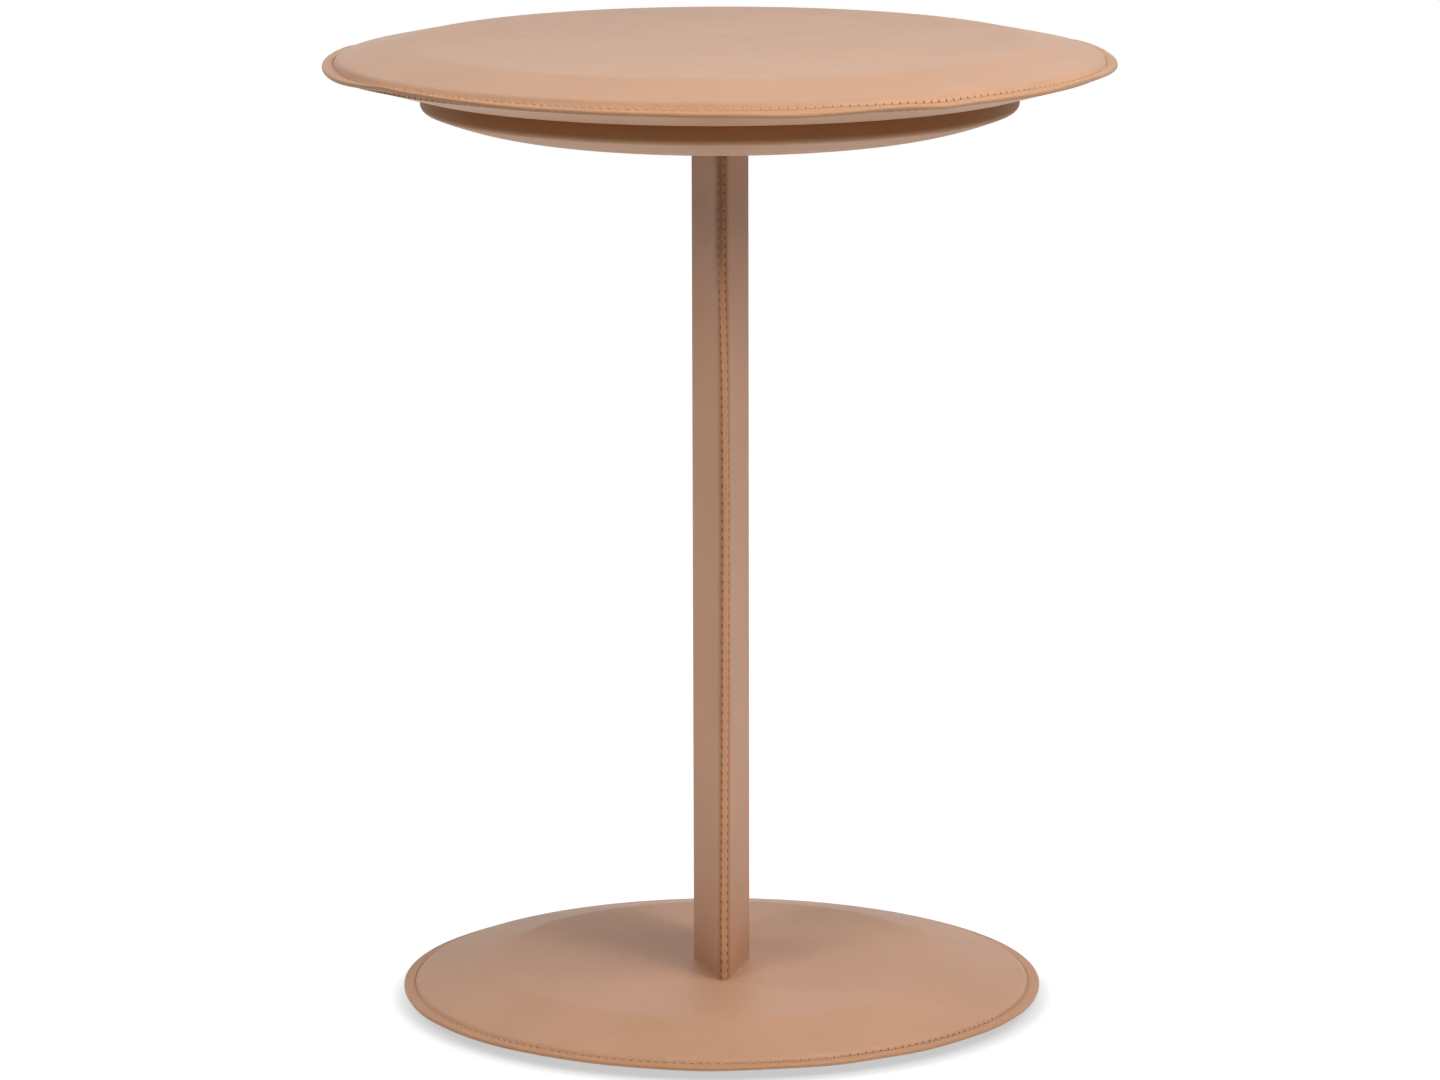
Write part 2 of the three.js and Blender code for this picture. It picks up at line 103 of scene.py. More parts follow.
top_low, top_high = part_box("tabletop_upper_skin")
under_low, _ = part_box("tabletop_lower_skin")
disc_low, disc_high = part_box("mounting_disc_skin")
column_low, column_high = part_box("column_left_skin")
base_low, base_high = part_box("base_upper_skin")
base_under_low, base_under_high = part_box("base_lower_skin")
TOP_RADIUS, BASE_RADIUS, DISC_RADIUS = top_high.x, base_high.x, disc_high.x
TOP_SEAM, BASE_SEAM = top_low.z, base_low.z
print("tabletop across:", round(2 * TOP_RADIUS, 4), "seams at", round(TOP_SEAM, 4), round(BASE_SEAM, 4))

# %% [markdown]
# Every skin is first drawn as an outline of its section, as a pattern maker does on paper. The outer face is a
# line with rounded corners. The inner face is the same line moved in by the thickness of the leather, which is
# better than drawing it twice, because the wall then has one thickness everywhere.

# %% Outlines
TIGHTEST_FOLD = 0.1 * MM


def corner(x, y, radius=0.0, steps=6):
    """A corner of an outline, the radius that rounds it and the number of steps on the curve"""
    return Vector((x, y)), radius, steps


def moved_right(corners, depth):
    """The line of corners moved to the right of its direction, its radii grown or shrunk to suit"""
    points = [point for point, _, _ in corners]
    sides = [Vector((b.y - a.y, a.x - b.x)).normalized() for a, b in zip(points, points[1:])]
    line = []
    for i, (point, radius, steps) in enumerate(corners):
        before, after = sides[max(i - 1, 0)], sides[min(i, len(sides) - 1)]
        mitre = before + after
        turns_left = before.cross(after) > 0
        grown = radius + depth if turns_left else max(radius - depth, TIGHTEST_FOLD)
        line.append((point + mitre * (2 * depth / mitre.length_squared), grown if radius else 0.0, steps))
    return line


def rounded(corners, closed=False):
    """Points of an outline, with an arc at each corner that has a radius"""
    points = []
    count = len(corners)
    for i, (point, radius, steps) in enumerate(corners):
        if radius == 0 or (not closed and i in (0, count - 1)):
            points.append(point)
            continue
        into = (point - corners[i - 1][0]).normalized()
        out = (corners[(i + 1) % count][0] - point).normalized()
        turn = math.atan2(into.cross(out), into.dot(out))
        start = point - into * (radius * math.tan(abs(turn) / 2))
        centre = start + Vector((-into.y, into.x)) * math.copysign(radius, turn)
        arm = start - centre
        for step in range(steps + 1):
            points.append(centre + Matrix.Rotation(turn * step / steps, 2) @ arm)
    return points


# %% [markdown]
# Blender starts a drawing with a single point: a small plane is merged to its centre, moved to the first
# corner and extruded from corner to corner. A round skin is then spun about the table's axis. Spinning is the
# natural tool, because a maker would turn the core on a lathe and the leather takes its form.

# %% Draw and spin
SPIN_SIDES = 240
SMOOTH_ANGLE = math.radians(38)
MERGE_DISTANCE = MM / 500


def draw_line(name, points):
    """A new object in edit mode that holds a line of edges"""
    bpy.ops.object.select_all(action="DESELECT")
    bpy.ops.mesh.primitive_plane_add(size=MM)
    piece = bpy.context.object
    piece.name = piece.data.name = name
    bpy.ops.object.mode_set(mode="EDIT")
    bpy.ops.mesh.merge(type="CENTER")
    bpy.ops.transform.translate(value=points[0])
    for before, after in zip(points, points[1:]):
        bpy.ops.mesh.extrude_vertices_move(TRANSFORM_OT_translate={"value": after - before})
    return piece


def close_up(piece):
    """Merges doubles, turns all faces outwards and leaves edit mode with smooth shading"""
    bpy.ops.mesh.select_all(action="SELECT")
    bpy.ops.mesh.remove_doubles(threshold=MERGE_DISTANCE)
    bpy.ops.mesh.normals_make_consistent(inside=False)
    bpy.ops.object.mode_set(mode="OBJECT")
    bpy.ops.object.shade_smooth_by_angle(angle=SMOOTH_ANGLE)
    print(piece.name, "faces:", len(piece.data.polygons))
    return piece


def spin_piece(name, outline, sides=SPIN_SIDES):
    """A piece turned about the Z axis from an outline in the XZ plane"""
    piece = draw_line(name, [Vector((point.x, 0, point.y)) for point in outline])
    bpy.ops.mesh.select_all(action="SELECT")
    bpy.ops.mesh.spin(steps=sides, angle=2 * math.pi, center=(0, 0, 0), axis=(0, 0, 1))
    return close_up(piece)


# %% [markdown]
# Holes are drilled with the Boolean modifier, which is the Blender form of a drill bit: a cylinder is added at
# each place, and the difference is applied.

# %% Drill
DRILL_SIDES = 40


def drill(piece, places, radius, bottom, top, sides=DRILL_SIDES):
    """Cuts upright holes through a piece, round ones unless the bit has few sides"""
    for x, y in places:
        bpy.ops.object.select_all(action="DESELECT")
        bpy.ops.mesh.primitive_cylinder_add(
            vertices=sides, radius=radius, depth=top - bottom, location=(x, y, (bottom + top) / 2)
        )
        bit = bpy.context.object
        cut = piece.modifiers.new("drill", "BOOLEAN")
        cut.operation, cut.solver, cut.object = "DIFFERENCE", "EXACT", bit
        bpy.context.view_layer.objects.active = piece
        bpy.ops.object.modifier_apply(modifier=cut.name)
        bpy.data.objects.remove(bit)
    return piece


def middle(node):
    """The centre of a CAD node in plan"""
    low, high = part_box(node)
    return (low.x + high.x) / 2, (low.y + high.y) / 2


QUARTERS = ("rear_right", "rear_left", "front_left", "front_right")
SCREW_PLACES = [middle("tabletop_screw_" + quarter) for quarter in QUARTERS]
GLIDE_PLACES = [middle("glide_" + quarter) for quarter in QUARTERS]
ROD_PLACES = [middle("tie_rod_" + side) for side in ("front", "rear")]
print("screws at", [tuple(round(v, 3) for v in place) for place in SCREW_PLACES])

# %% [markdown]
# Hand-sewn leather is never quite straight. Where two skins are pulled together by thread, the flange lifts,
# sinks and tilts by a millimetre or two, as the photo shows. The same wave is given to both skins and to their
# thread, so that they stay together. It is a formula and not a sculpting stroke, for that reason.


# %% Wave of a sewn flange
def smooth_step(value):
    value = min(max(value, 0.0), 1.0)
    return value * value * (3 - 2 * value)


def swell(distance, width):
    """One soft hump: 1 at its middle and 0 at its width"""
    return smooth_step(1 - abs(distance) / width)


def wave_flange(piece, rim_radius, swells):
    """Lifts a round flange by swells, each given as its place and half width in degrees, and its height in
    millimetres at the groove and at the rim. Inside the groove the lift runs out over the leather's thickness."""
    groove = rim_radius - FLANGE_WIDTH
    for vertex in piece.data.vertices:
        beyond = Vector(vertex.co.xy).length - groove
        if beyond <= -LEATHER:
            continue
        angle = math.degrees(math.atan2(vertex.co.y, vertex.co.x))
        groove_lift = rim_lift = 0.0
        for place, width, at_groove, at_rim in swells:
            hump = swell((angle - place + 180) % 360 - 180, width)
            groove_lift += at_groove * MM * hump
            rim_lift += at_rim * MM * hump
        if beyond < 0:
            vertex.co.z += groove_lift * smooth_step(1 + beyond / LEATHER)
        else:
            vertex.co.z += groove_lift + (rim_lift - groove_lift) * smooth_step(beyond / FLANGE_WIDTH)


TOP_SWELLS = [
    (186, 16, -0.3, -0.8), (198, 16, -1.1, -1.5), (210, 16, -0.4, 0.5), (212, 6, 0.0, 0.6),
    (222, 16, -0.2, 0.2), (234, 16, -0.4, -0.8), (246, 16, -0.8, -1.2), (258, 16, -0.9, -1.3),
    (270, 16, -1.1, -1.6), (277, 8, -0.3, -0.4), (282, 16, -0.3, -1.9), (290, 7, 0.0, 0.3),
    (294, 16, -0.6, -0.6), (300, 6, -0.6, -0.9), (306, 16, -0.5, -1.0), (318, 16, 0.0, -0.5),
    (321, 9, 0.0, -0.5), (330, 16, 0.0, 0.6), (342, 16, 0.0, 0.2), (354, 16, -0.5, -0.3),
    (18, 16, 0.3, 1.0), (29, 9, 0.0, -0.9), (60, 30, 0.2, 0.5), (105, 26, -0.2, -0.5),
    (158, 20, 0.3, 0.7), (154, 7, 0.0, -1.1),
]
BASE_SWELLS = [
    (199, 11, 0.0, -0.5), (222, 40, -0.2, -0.6), (236, 22, 0.0, 0.4), (250, 24, -0.2, -0.3),
    (265, 12, -0.2, -0.6), (281, 10, 0.0, 0.4), (284, 14, -0.3, -0.7), (316, 13, 0.0, 0.7),
    (316, 24, -0.2, -0.7), (341, 12, 0.0, -0.5), (40, 28, 0.0, -0.3), (90, 26, 0.0, -0.5),
    (135, 24, 0.0, -0.8), (172, 16, 0.0, 0.3),
]

# %% [markdown]
# ## Tabletop
# A flat plateau, a soft crease, a shallow bevel, then a shoulder where the leather turns down over the edge of
# the plywood, and the flange. The thread pulls the leather down into a groove at the shoulder's foot, and the
# cut edge is rounded by the burnisher. The leather is pared thinner inside the shoulder, so its inner face
# follows the square edge of the core.


# %% Skins of a lens
def lens_outline(rim_radius, plateau_radius, rise, shoulder):
    """Section of a lens-shaped skin above its seam, from the axis out over the top and back underneath. The
    shoulder is given as its height, its run and the radius that rounds it."""
    groove = rim_radius - FLANGE_WIDTH
    height, run, rounding = shoulder
    face = [
        corner(0, rise),
        corner(plateau_radius, rise, CREASE_RADIUS, 8),
        corner(groove - run, LEATHER + height, rounding, 8),
        corner(groove, LEATHER - CHANNEL_DEPTH, GROOVE_FILLET, 4),
        corner(groove + CHANNEL_WIDTH, LEATHER, CHANNEL_WIDTH, 4),
        corner(rim_radius, LEATHER, CUT_EDGE_RADIUS, 6),
    ]
    over_core = [
        corner(0, rise),
        corner(plateau_radius, rise, CREASE_RADIUS, 8),
        corner(groove, LEATHER + CORE_EDGE, LEATHER, 3),
        corner(groove, LEATHER, GROOVE_FILLET, 3),
        corner(rim_radius, LEATHER),
    ]
    back = moved_right(over_core, LEATHER)
    back[-1] = corner(rim_radius, 0, SEAM_EDGE_RADIUS, 2)
    return rounded(face + back[::-1])


def at_level(outline, level, upside_down=False):
    """The outline moved to a level, and turned over if it hangs below it"""
    way = -1 if upside_down else 1
    return [Vector((point.x, level + way * point.y)) for point in outline]


top_outline = lens_outline(TOP_RADIUS, TOP_PLATEAU_RADIUS, top_high.z - TOP_SEAM, TOP_SHOULDER)
top_leather = spin_piece("tabletop_leather", at_level(top_outline, TOP_SEAM))
under_outline = lens_outline(TOP_RADIUS, UNDERSIDE_PLATEAU_RADIUS, TOP_SEAM - under_low.z, UNDER_SHOULDER)
under_leather = spin_piece("tabletop_leather_under", at_level(under_outline, TOP_SEAM, upside_down=True))
SCREW_HOLE = 3.3 * MM
drill(under_leather, SCREW_PLACES, SCREW_HOLE, under_low.z - LEATHER, under_low.z + 2 * LEATHER)
for skin in (top_leather, under_leather):
    wave_flange(skin, TOP_RADIUS, TOP_SWELLS)

# %% [markdown]
# ## Mounting disc
# The disc under the top has a plain wall that turns over a rounded edge into a shallow dome, and the dome runs
# out level at the column's seat. The dome is one smooth curve, so its outline is worked out point by point
# instead of from corners. The leather is turned in over the disc's upper edge, where the tabletop hides it.

# %% Mounting disc leather
WALL_HEIGHT = 11 * MM
WALL_EDGE_RADIUS = 4 * MM
DOME_EDGE_SLOPE = math.radians(22)
SEAT_RADIUS = 109 * MM
TURN_IN = 14 * MM
DOME_STEPS = 16

disc_height = disc_high.z - disc_low.z
dome_depth = disc_height - WALL_HEIGHT
wall_foot = Vector((DISC_RADIUS, -WALL_HEIGHT))
slope_end = Vector((DISC_RADIUS - dome_depth / math.tan(DOME_EDGE_SLOPE), -disc_height))
seat_edge = Vector((SEAT_RADIUS, -disc_height))
disc_face = [
    corner(DISC_RADIUS - TURN_IN, 0),
    corner(DISC_RADIUS, 0, FOLD_RADIUS, 6),
    corner(*wall_foot, WALL_EDGE_RADIUS, 10),
]
for step in range(1, DOME_STEPS + 1):
    share = step / DOME_STEPS
    disc_face.append(corner(*wall_foot.lerp(slope_end, share).lerp(slope_end.lerp(seat_edge, share), share)))
disc_face.append(corner(0, -disc_height))
disc_back = moved_right(disc_face, LEATHER)
disc_leather = spin_piece("mounting_disc_leather", at_level(rounded(disc_back[::-1] + disc_face), disc_high.z))
SCREW_POCKET = 8.5 * MM
ROD_HOLE = 4.3 * MM
drill(disc_leather, SCREW_PLACES, SCREW_POCKET, disc_low.z - LEATHER, disc_low.z + 2 * LEATHER)
drill(disc_leather, ROD_PLACES, ROD_HOLE, disc_low.z - LEATHER, disc_low.z + 2 * LEATHER)
print("dome depth:", round(dome_depth, 4))

# %% [markdown]
# ## Column
# Two long skins meet on the middle plane and are sewn to each other along a fin at the front and one at the
# rear. The outline of one skin is drawn in plan, filled with a face and extruded upwards in steps, because the
# fin sways a little on its way up and needs points to bend at.

# %% Column leather
SIDE_CORNER_RADIUS = 4 * MM
COLUMN_WIDTH = 32.7 * MM
ROOT_FILLET = 7 * MM
FIN_FLARE = 1.3 * MM
COLUMN_STEPS = 60
COLUMN_SWAYS = [
    (0.500, 0.150, -1.7 * MM), (0.440, 0.080, -0.4 * MM), (0.290, 0.150, 0.7 * MM), (0.050, 0.130, -0.8 * MM),
]

column_bottom, column_top = column_low.z, column_high.z
column_length = column_top - column_bottom
fin_tip = column_high.y
fin_root = fin_tip - FLANGE_WIDTH
fin_stitch_line = fin_tip - FIN_STITCH_INSET


def column_outline():
    """Plan of the left skin: outside along the front fin, the side corner and the rear fin, and back inside"""
    face = [
        corner(-LEATHER, -fin_tip),
        corner(-LEATHER - FIN_FLARE, -fin_root, ROOT_FILLET, 5),
        corner(-COLUMN_WIDTH / 2, 0, SIDE_CORNER_RADIUS, 9),
        corner(-LEATHER - FIN_FLARE, fin_root, ROOT_FILLET, 5),
        corner(-LEATHER, fin_tip),
    ]
    plain = []
    for point, radius, steps in face:
        on_fin = abs(point.y) >= fin_root
        plain.append((Vector((-LEATHER, point.y)) if on_fin else point, radius, steps))
    back = moved_right(plain, LEATHER)
    back[0] = corner(0, -fin_tip, SEAM_EDGE_RADIUS, 2)
    back[-1] = corner(0, fin_tip, SEAM_EDGE_RADIUS, 2)
    half = CHANNEL_WIDTH / 2
    channel = [
        corner(-LEATHER, fin_stitch_line - half, CHANNEL_WIDTH, 3),
        corner(CHANNEL_DEPTH - LEATHER, fin_stitch_line, half, 3),
        corner(-LEATHER, fin_stitch_line + half, CHANNEL_WIDTH, 3),
        corner(-LEATHER, fin_tip, FIN_EDGE_RADIUS, 3),
    ]
    front = [corner(point.x, -point.y, radius, steps) for point, radius, steps in channel[::-1]]
    return rounded(front + face[1:-1] + channel + back[::-1], closed=True)


def raise_prism(name, outline, bottom, top, steps):
    """An outline in plan, filled and extruded upwards in equal steps"""
    points = [Vector((point.x, point.y, bottom)) for point in outline]
    piece = draw_line(name, points + points[:1])
    bpy.ops.mesh.select_all(action="SELECT")
    bpy.ops.mesh.remove_doubles(threshold=MERGE_DISTANCE)
    bpy.ops.mesh.edge_face_add()
    for _ in range(steps):
        bpy.ops.mesh.extrude_region_move(TRANSFORM_OT_translate={"value": (0, 0, (top - bottom) / steps)})
    return close_up(piece)


def sway_fin(piece):
    """Leans the fins to one side by their sways, each given as its height, half height and lean"""
    for vertex in piece.data.vertices:
        reach = (abs(vertex.co.y) - fin_root + FLANGE_WIDTH) / (2 * FLANGE_WIDTH)
        if reach <= 0:
            continue
        side = -math.copysign(1, vertex.co.y)
        lean = sum(size * swell(vertex.co.z - place, height) for place, height, size in COLUMN_SWAYS)
        vertex.co.x += side * lean * smooth_step(reach)


def duplicate(piece, name):
    """A copy of a piece with its own mesh"""
    bpy.ops.object.select_all(action="DESELECT")
    piece.select_set(True)
    bpy.context.view_layer.objects.active = piece
    bpy.ops.object.duplicate()
    copy = bpy.context.object
    copy.name = copy.data.name = name
    return copy


left_leather = raise_prism("column_leather_left", column_outline(), column_bottom, column_top, COLUMN_STEPS)
right_leather = duplicate(left_leather, "column_leather_right")
bpy.ops.object.mode_set(mode="EDIT")
bpy.ops.mesh.select_all(action="SELECT")
bpy.ops.transform.mirror(constraint_axis=(True, False, False), center_override=(0, 0, 0))
close_up(right_leather)
for skin in (left_leather, right_leather):
    sway_fin(skin)
print("column length:", round(column_length, 4))

# %% [markdown]
# ## Base
# The base is the same lens as the tabletop's upper half, over an iron disc that gives the table its weight.
# Its underside is one flat disc of leather with holes for the glides' screws and for a box spanner.

# %% Base leather
base_outline = lens_outline(BASE_RADIUS, BASE_PLATEAU_RADIUS, base_high.z - BASE_SEAM, BASE_SHOULDER)
base_leather = spin_piece("base_leather", at_level(base_outline, BASE_SEAM))
drill(base_leather, ROD_PLACES, ROD_HOLE, base_high.z - 2 * LEATHER, base_high.z + LEATHER)

base_stitch = BASE_RADIUS - STITCH_INSET
base_under_outline = rounded([
    corner(0, 0),
    corner(BASE_RADIUS, 0, SEAM_EDGE_RADIUS, 2),
    corner(BASE_RADIUS, -LEATHER, CUT_EDGE_RADIUS, 5),
    corner(base_stitch + CHANNEL_WIDTH / 2, -LEATHER, CHANNEL_WIDTH, 3),
    corner(base_stitch, CHANNEL_DEPTH - LEATHER, CHANNEL_WIDTH / 2, 3),
    corner(base_stitch - CHANNEL_WIDTH / 2, -LEATHER, CHANNEL_WIDTH, 3),
    corner(0, -LEATHER),
])
base_under_leather = spin_piece("base_leather_under", at_level(base_under_outline, BASE_SEAM))
SPANNER_HOLE = 9.5 * MM
GLIDE_SCREW_HOLE = 2.3 * MM
drill(base_under_leather, ROD_PLACES, SPANNER_HOLE, base_under_low.z - LEATHER, base_under_high.z + LEATHER)
drill(base_under_leather, GLIDE_PLACES, GLIDE_SCREW_HOLE, base_under_low.z - LEATHER, base_under_high.z + LEATHER)
for skin in (base_leather, base_under_leather):
    wave_flange(skin, BASE_RADIUS, BASE_SWELLS)

# %% [markdown]
# ## Sewing
# The skins are joined by a saddle stitch: one waxed thread on each face, going through the same awl holes. A
# stitch rises out of one hole, lies in the groove of a flange or the channel of a fin, where it is pressed into
# the leather, and dives into the next. It is modelled once, with six sides and six steps, because there are
# more than a thousand of them, and then copied round or along. Its path gives the place along the pitch, the
# height in millimetres and the share of the thickness.

# %% One stitch
STITCH_PATH = [
    (-0.40, -0.75, 0.7), (-0.33, -0.20, 0.9), (-0.20, 0.24, 1.0), (0.0, 0.32, 1.0),
    (0.20, 0.24, 1.0), (0.33, -0.20, 0.9), (0.40, -0.75, 0.7),
]
STITCH_SIDES = 6
STITCH_SLANT = math.radians(7)
THREAD_HEIGHT = LEATHER - CHANNEL_DEPTH + THREAD_RADIUS * 0.4


def model_stitch(name, pitch):
    """One stitch at the origin in edit mode: it runs along X on a surface that faces +Z"""
    path = [(Vector((along * pitch, 0, height * MM)), size) for along, height, size in STITCH_PATH]
    bpy.ops.object.select_all(action="DESELECT")
    bpy.ops.mesh.primitive_circle_add(
        vertices=STITCH_SIDES, radius=THREAD_RADIUS * path[0][1], fill_type="NGON",
        rotation=(0, math.pi / 2, 0), location=path[0][0],
    )
    bpy.ops.object.transform_apply(location=True, rotation=True, scale=True)
    piece = bpy.context.object
    piece.name = piece.data.name = name
    bpy.ops.object.mode_set(mode="EDIT")
    for (before, old_size), (after, size) in zip(path, path[1:]):
        bpy.ops.mesh.extrude_region_move(TRANSFORM_OT_translate={"value": after - before})
        grown = size / old_size
        bpy.ops.transform.resize(value=(1, grown, grown), center_override=after)
    bpy.ops.mesh.select_all(action="SELECT")
    bpy.ops.mesh.normals_make_consistent(inside=False)
    bpy.ops.transform.rotate(value=STITCH_SLANT, orient_axis="Z", center_override=(0, 0, 0))
    return piece


def mirror_copy(axis):
    """In edit mode, adds a mirrored copy of everything, mirrored at the origin"""
    bpy.ops.mesh.select_all(action="SELECT")
    bpy.ops.mesh.duplicate()
    bpy.ops.transform.mirror(constraint_axis=axis, center_override=(0, 0, 0))
    bpy.ops.mesh.flip_normals()
    bpy.ops.mesh.select_all(action="SELECT")


def finish_thread(piece):
    bpy.ops.object.mode_set(mode="OBJECT")
    bpy.ops.object.shade_smooth_by_angle(angle=SMOOTH_ANGLE * 2)
    print(piece.name, "faces:", len(piece.data.polygons))


# %% [markdown]
# A flange's stitches are spun round the axis with duplicates switched on, which copies the stitch at equal
# angles. Both faces are made at once, by mirroring the stitch at the seam before it is spun.


# %% Thread round a flange
def flange_thread(name, rim_radius, seam, swells):
    radius = rim_radius - STITCH_INSET
    count = round(2 * math.pi * radius / STITCH_PITCH)
    piece = model_stitch(name, 2 * math.pi * radius / count)
    bpy.ops.transform.translate(value=(0, 0, THREAD_HEIGHT))
    mirror_copy((False, False, True))
    bpy.ops.transform.translate(value=(0, -radius, seam))
    bpy.ops.mesh.spin(
        steps=count - 1, angle=2 * math.pi * (count - 1) / count, center=(0, 0, 0), axis=(0, 0, 1), dupli=True
    )
    finish_thread(piece)
    wave_flange(piece, rim_radius, swells)
    return piece, count


top_thread, TOP_STITCHES = flange_thread("tabletop_thread", TOP_RADIUS, TOP_SEAM, TOP_SWELLS)
base_thread, BASE_STITCHES = flange_thread("base_thread", BASE_RADIUS, BASE_SEAM, BASE_SWELLS)
print("stitches round the top and the base:", TOP_STITCHES, BASE_STITCHES)

# %% [markdown]
# The column's stitches are a little longer. They are turned upright, mirrored to the other face and to the rear
# fin, and repeated up the column with the Array modifier.

# %% Thread along the fins
FIN_STITCH_STRETCH = 1.03
COLUMN_STITCHES = round(column_length / (STITCH_PITCH * FIN_STITCH_STRETCH))
COLUMN_PITCH = column_length / COLUMN_STITCHES
column_thread = model_stitch("column_thread", COLUMN_PITCH)
bpy.ops.transform.translate(value=(0, 0, THREAD_HEIGHT))
bpy.ops.transform.rotate(value=-math.pi / 2, orient_axis="Y", center_override=(0, 0, 0))
mirror_copy((True, False, False))
bpy.ops.transform.translate(value=(0, -fin_stitch_line, 0))
mirror_copy((False, True, False))
bpy.ops.transform.translate(value=(0, 0, column_bottom + COLUMN_PITCH / 2))
bpy.ops.object.mode_set(mode="OBJECT")
repeat = column_thread.modifiers.new("repeat", "ARRAY")
repeat.use_relative_offset, repeat.use_constant_offset = False, True
repeat.constant_offset_displace = (0, 0, COLUMN_PITCH)
repeat.count = COLUMN_STITCHES
bpy.ops.object.modifier_apply(modifier=repeat.name)
finish_thread(column_thread)
sway_fin(column_thread)
thread_low = min(vertex.co.z for vertex in column_thread.data.vertices)
print("stitches up a fin:", COLUMN_STITCHES, "from", round(thread_low, 4))

# %% [markdown]
# ## Glides and fasteners
# Four turned nylon glides carry the table. Each is a closed ring: its outline runs round the screw's hole and
# pocket, so it is spun without a point on the axis. One is spun and the others are copies.


# %% Turned parts and their copies
def place_copies(piece, name, places, suffixes):
    """Copies a piece made on the axis to its places and removes it"""
    made = []
    for (x, y), suffix in zip(places, suffixes):
        made.append(duplicate(piece, f"{name}_{suffix}"))
        bpy.ops.transform.translate(value=(x, y, 0))
        bpy.ops.object.transform_apply(location=True, rotation=False, scale=False)
    bpy.data.objects.remove(piece)
    print(name, "copies:", len(made))
    return made


glide_low, glide_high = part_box("glide_front_left")
GLIDE_RADIUS = (glide_high.x - glide_low.x) / 2
GLIDE_HEIGHT = glide_high.z - glide_low.z
GLIDE_POCKET_RADIUS = 5 * MM
GLIDE_POCKET_DEPTH = 3.2 * MM
GLIDE_BEVEL, GLIDE_ROUNDING = 1.5 * MM, 1.2 * MM
GLIDE_SIDES = 64
glide_section = rounded([
    corner(GLIDE_SCREW_HOLE, GLIDE_POCKET_DEPTH, 0.2 * MM, 2),
    corner(GLIDE_SCREW_HOLE, GLIDE_HEIGHT),
    corner(GLIDE_RADIUS, GLIDE_HEIGHT, 0.4 * MM, 3),
    corner(GLIDE_RADIUS, GLIDE_BEVEL, GLIDE_ROUNDING, 4),
    corner(GLIDE_RADIUS - GLIDE_BEVEL, 0, GLIDE_ROUNDING, 4),
    corner(GLIDE_POCKET_RADIUS, 0, 0.3 * MM, 3),
    corner(GLIDE_POCKET_RADIUS, GLIDE_POCKET_DEPTH),
], closed=True)
glide = spin_piece("glide_pattern", glide_section + glide_section[:1], GLIDE_SIDES)
glides = place_copies(glide, "turned_glide", GLIDE_PLACES, QUARTERS)

# %% [markdown]
# The button-head screws show from below, inside their pockets. The head is spun with a true dome, and the
# hexagon socket is cut with a bit of six sides.

# %% Button-head screws and washers
FASTENER_SIDES = 48
SCREW_TIP = 0.6 * MM
HEAD_LIP, HEAD_BEVEL = 0.25 * MM, 0.2 * MM
HEAD_FULLNESS = 0.8
HEAD_STEPS = 8


def button_screw(name, node, shank, head, head_height, socket, socket_depth):
    """A button-head screw on the axis that points up, at the height of its CAD node. shank and head are radii,
    and the socket is measured across its flats."""
    low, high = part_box(node)
    bearing = low.z + head_height
    section = [Vector((0, high.z)), Vector((shank - SCREW_TIP, high.z)), Vector((shank, high.z - SCREW_TIP))]
    section += [Vector((shank, bearing)), Vector((head - HEAD_BEVEL, bearing))]
    for step in range(HEAD_STEPS + 1):
        turn = math.pi / 2 * step / HEAD_STEPS
        height = bearing - HEAD_LIP - (head_height - HEAD_LIP) * math.sin(turn)
        section.append(Vector((head * math.cos(turn) ** HEAD_FULLNESS, height)))
    screw = spin_piece(name, section, FASTENER_SIDES)
    return drill(screw, [(0, 0)], socket / math.sqrt(3), low.z - socket_depth, low.z + socket_depth, sides=6)


def washer(name, node, outer, inner):
    """A washer on the axis, from its two radii"""
    low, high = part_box(node)
    edge = 0.3 * MM
    section = rounded([
        corner(inner, low.z), corner(inner, high.z), corner(outer, high.z, edge, 3), corner(outer, low.z, edge, 3)
    ], closed=True)
    return spin_piece(name, section + section[:1], FASTENER_SIDES)


glide_screw = button_screw(
    "glide_screw_pattern", "glide_screw_front_left",
    shank=2 * MM, head=3.8 * MM, head_height=2.2 * MM, socket=2.5 * MM, socket_depth=1.2 * MM,
)
glide_screws = place_copies(glide_screw, "button_screw_glide", GLIDE_PLACES, QUARTERS)
top_screw = button_screw(
    "top_screw_pattern", "tabletop_screw_front_left",
    shank=3 * MM, head=5.25 * MM, head_height=3.3 * MM, socket=4 * MM, socket_depth=2 * MM,
)
top_screws = place_copies(top_screw, "button_screw_top", SCREW_PLACES, QUARTERS)
top_washer = washer("top_washer_pattern", "tabletop_washer_front_left", 7.5 * MM, SCREW_HOLE)
top_washers = place_copies(top_washer, "turned_washer_top", SCREW_PLACES, QUARTERS)
rod_washer = washer("rod_washer_pattern", "tie_washer_bottom_front", 8 * MM, ROD_HOLE)
rod_washers = place_copies(rod_washer, "turned_washer_rod", ROD_PLACES, ("front", "rear"))

# %% [markdown]
# ## Which body and which material slot
# The table has no joints, so every piece rides on the one body. Each new piece names the slot that it takes its
# finish from and the CAD node that it stands for.

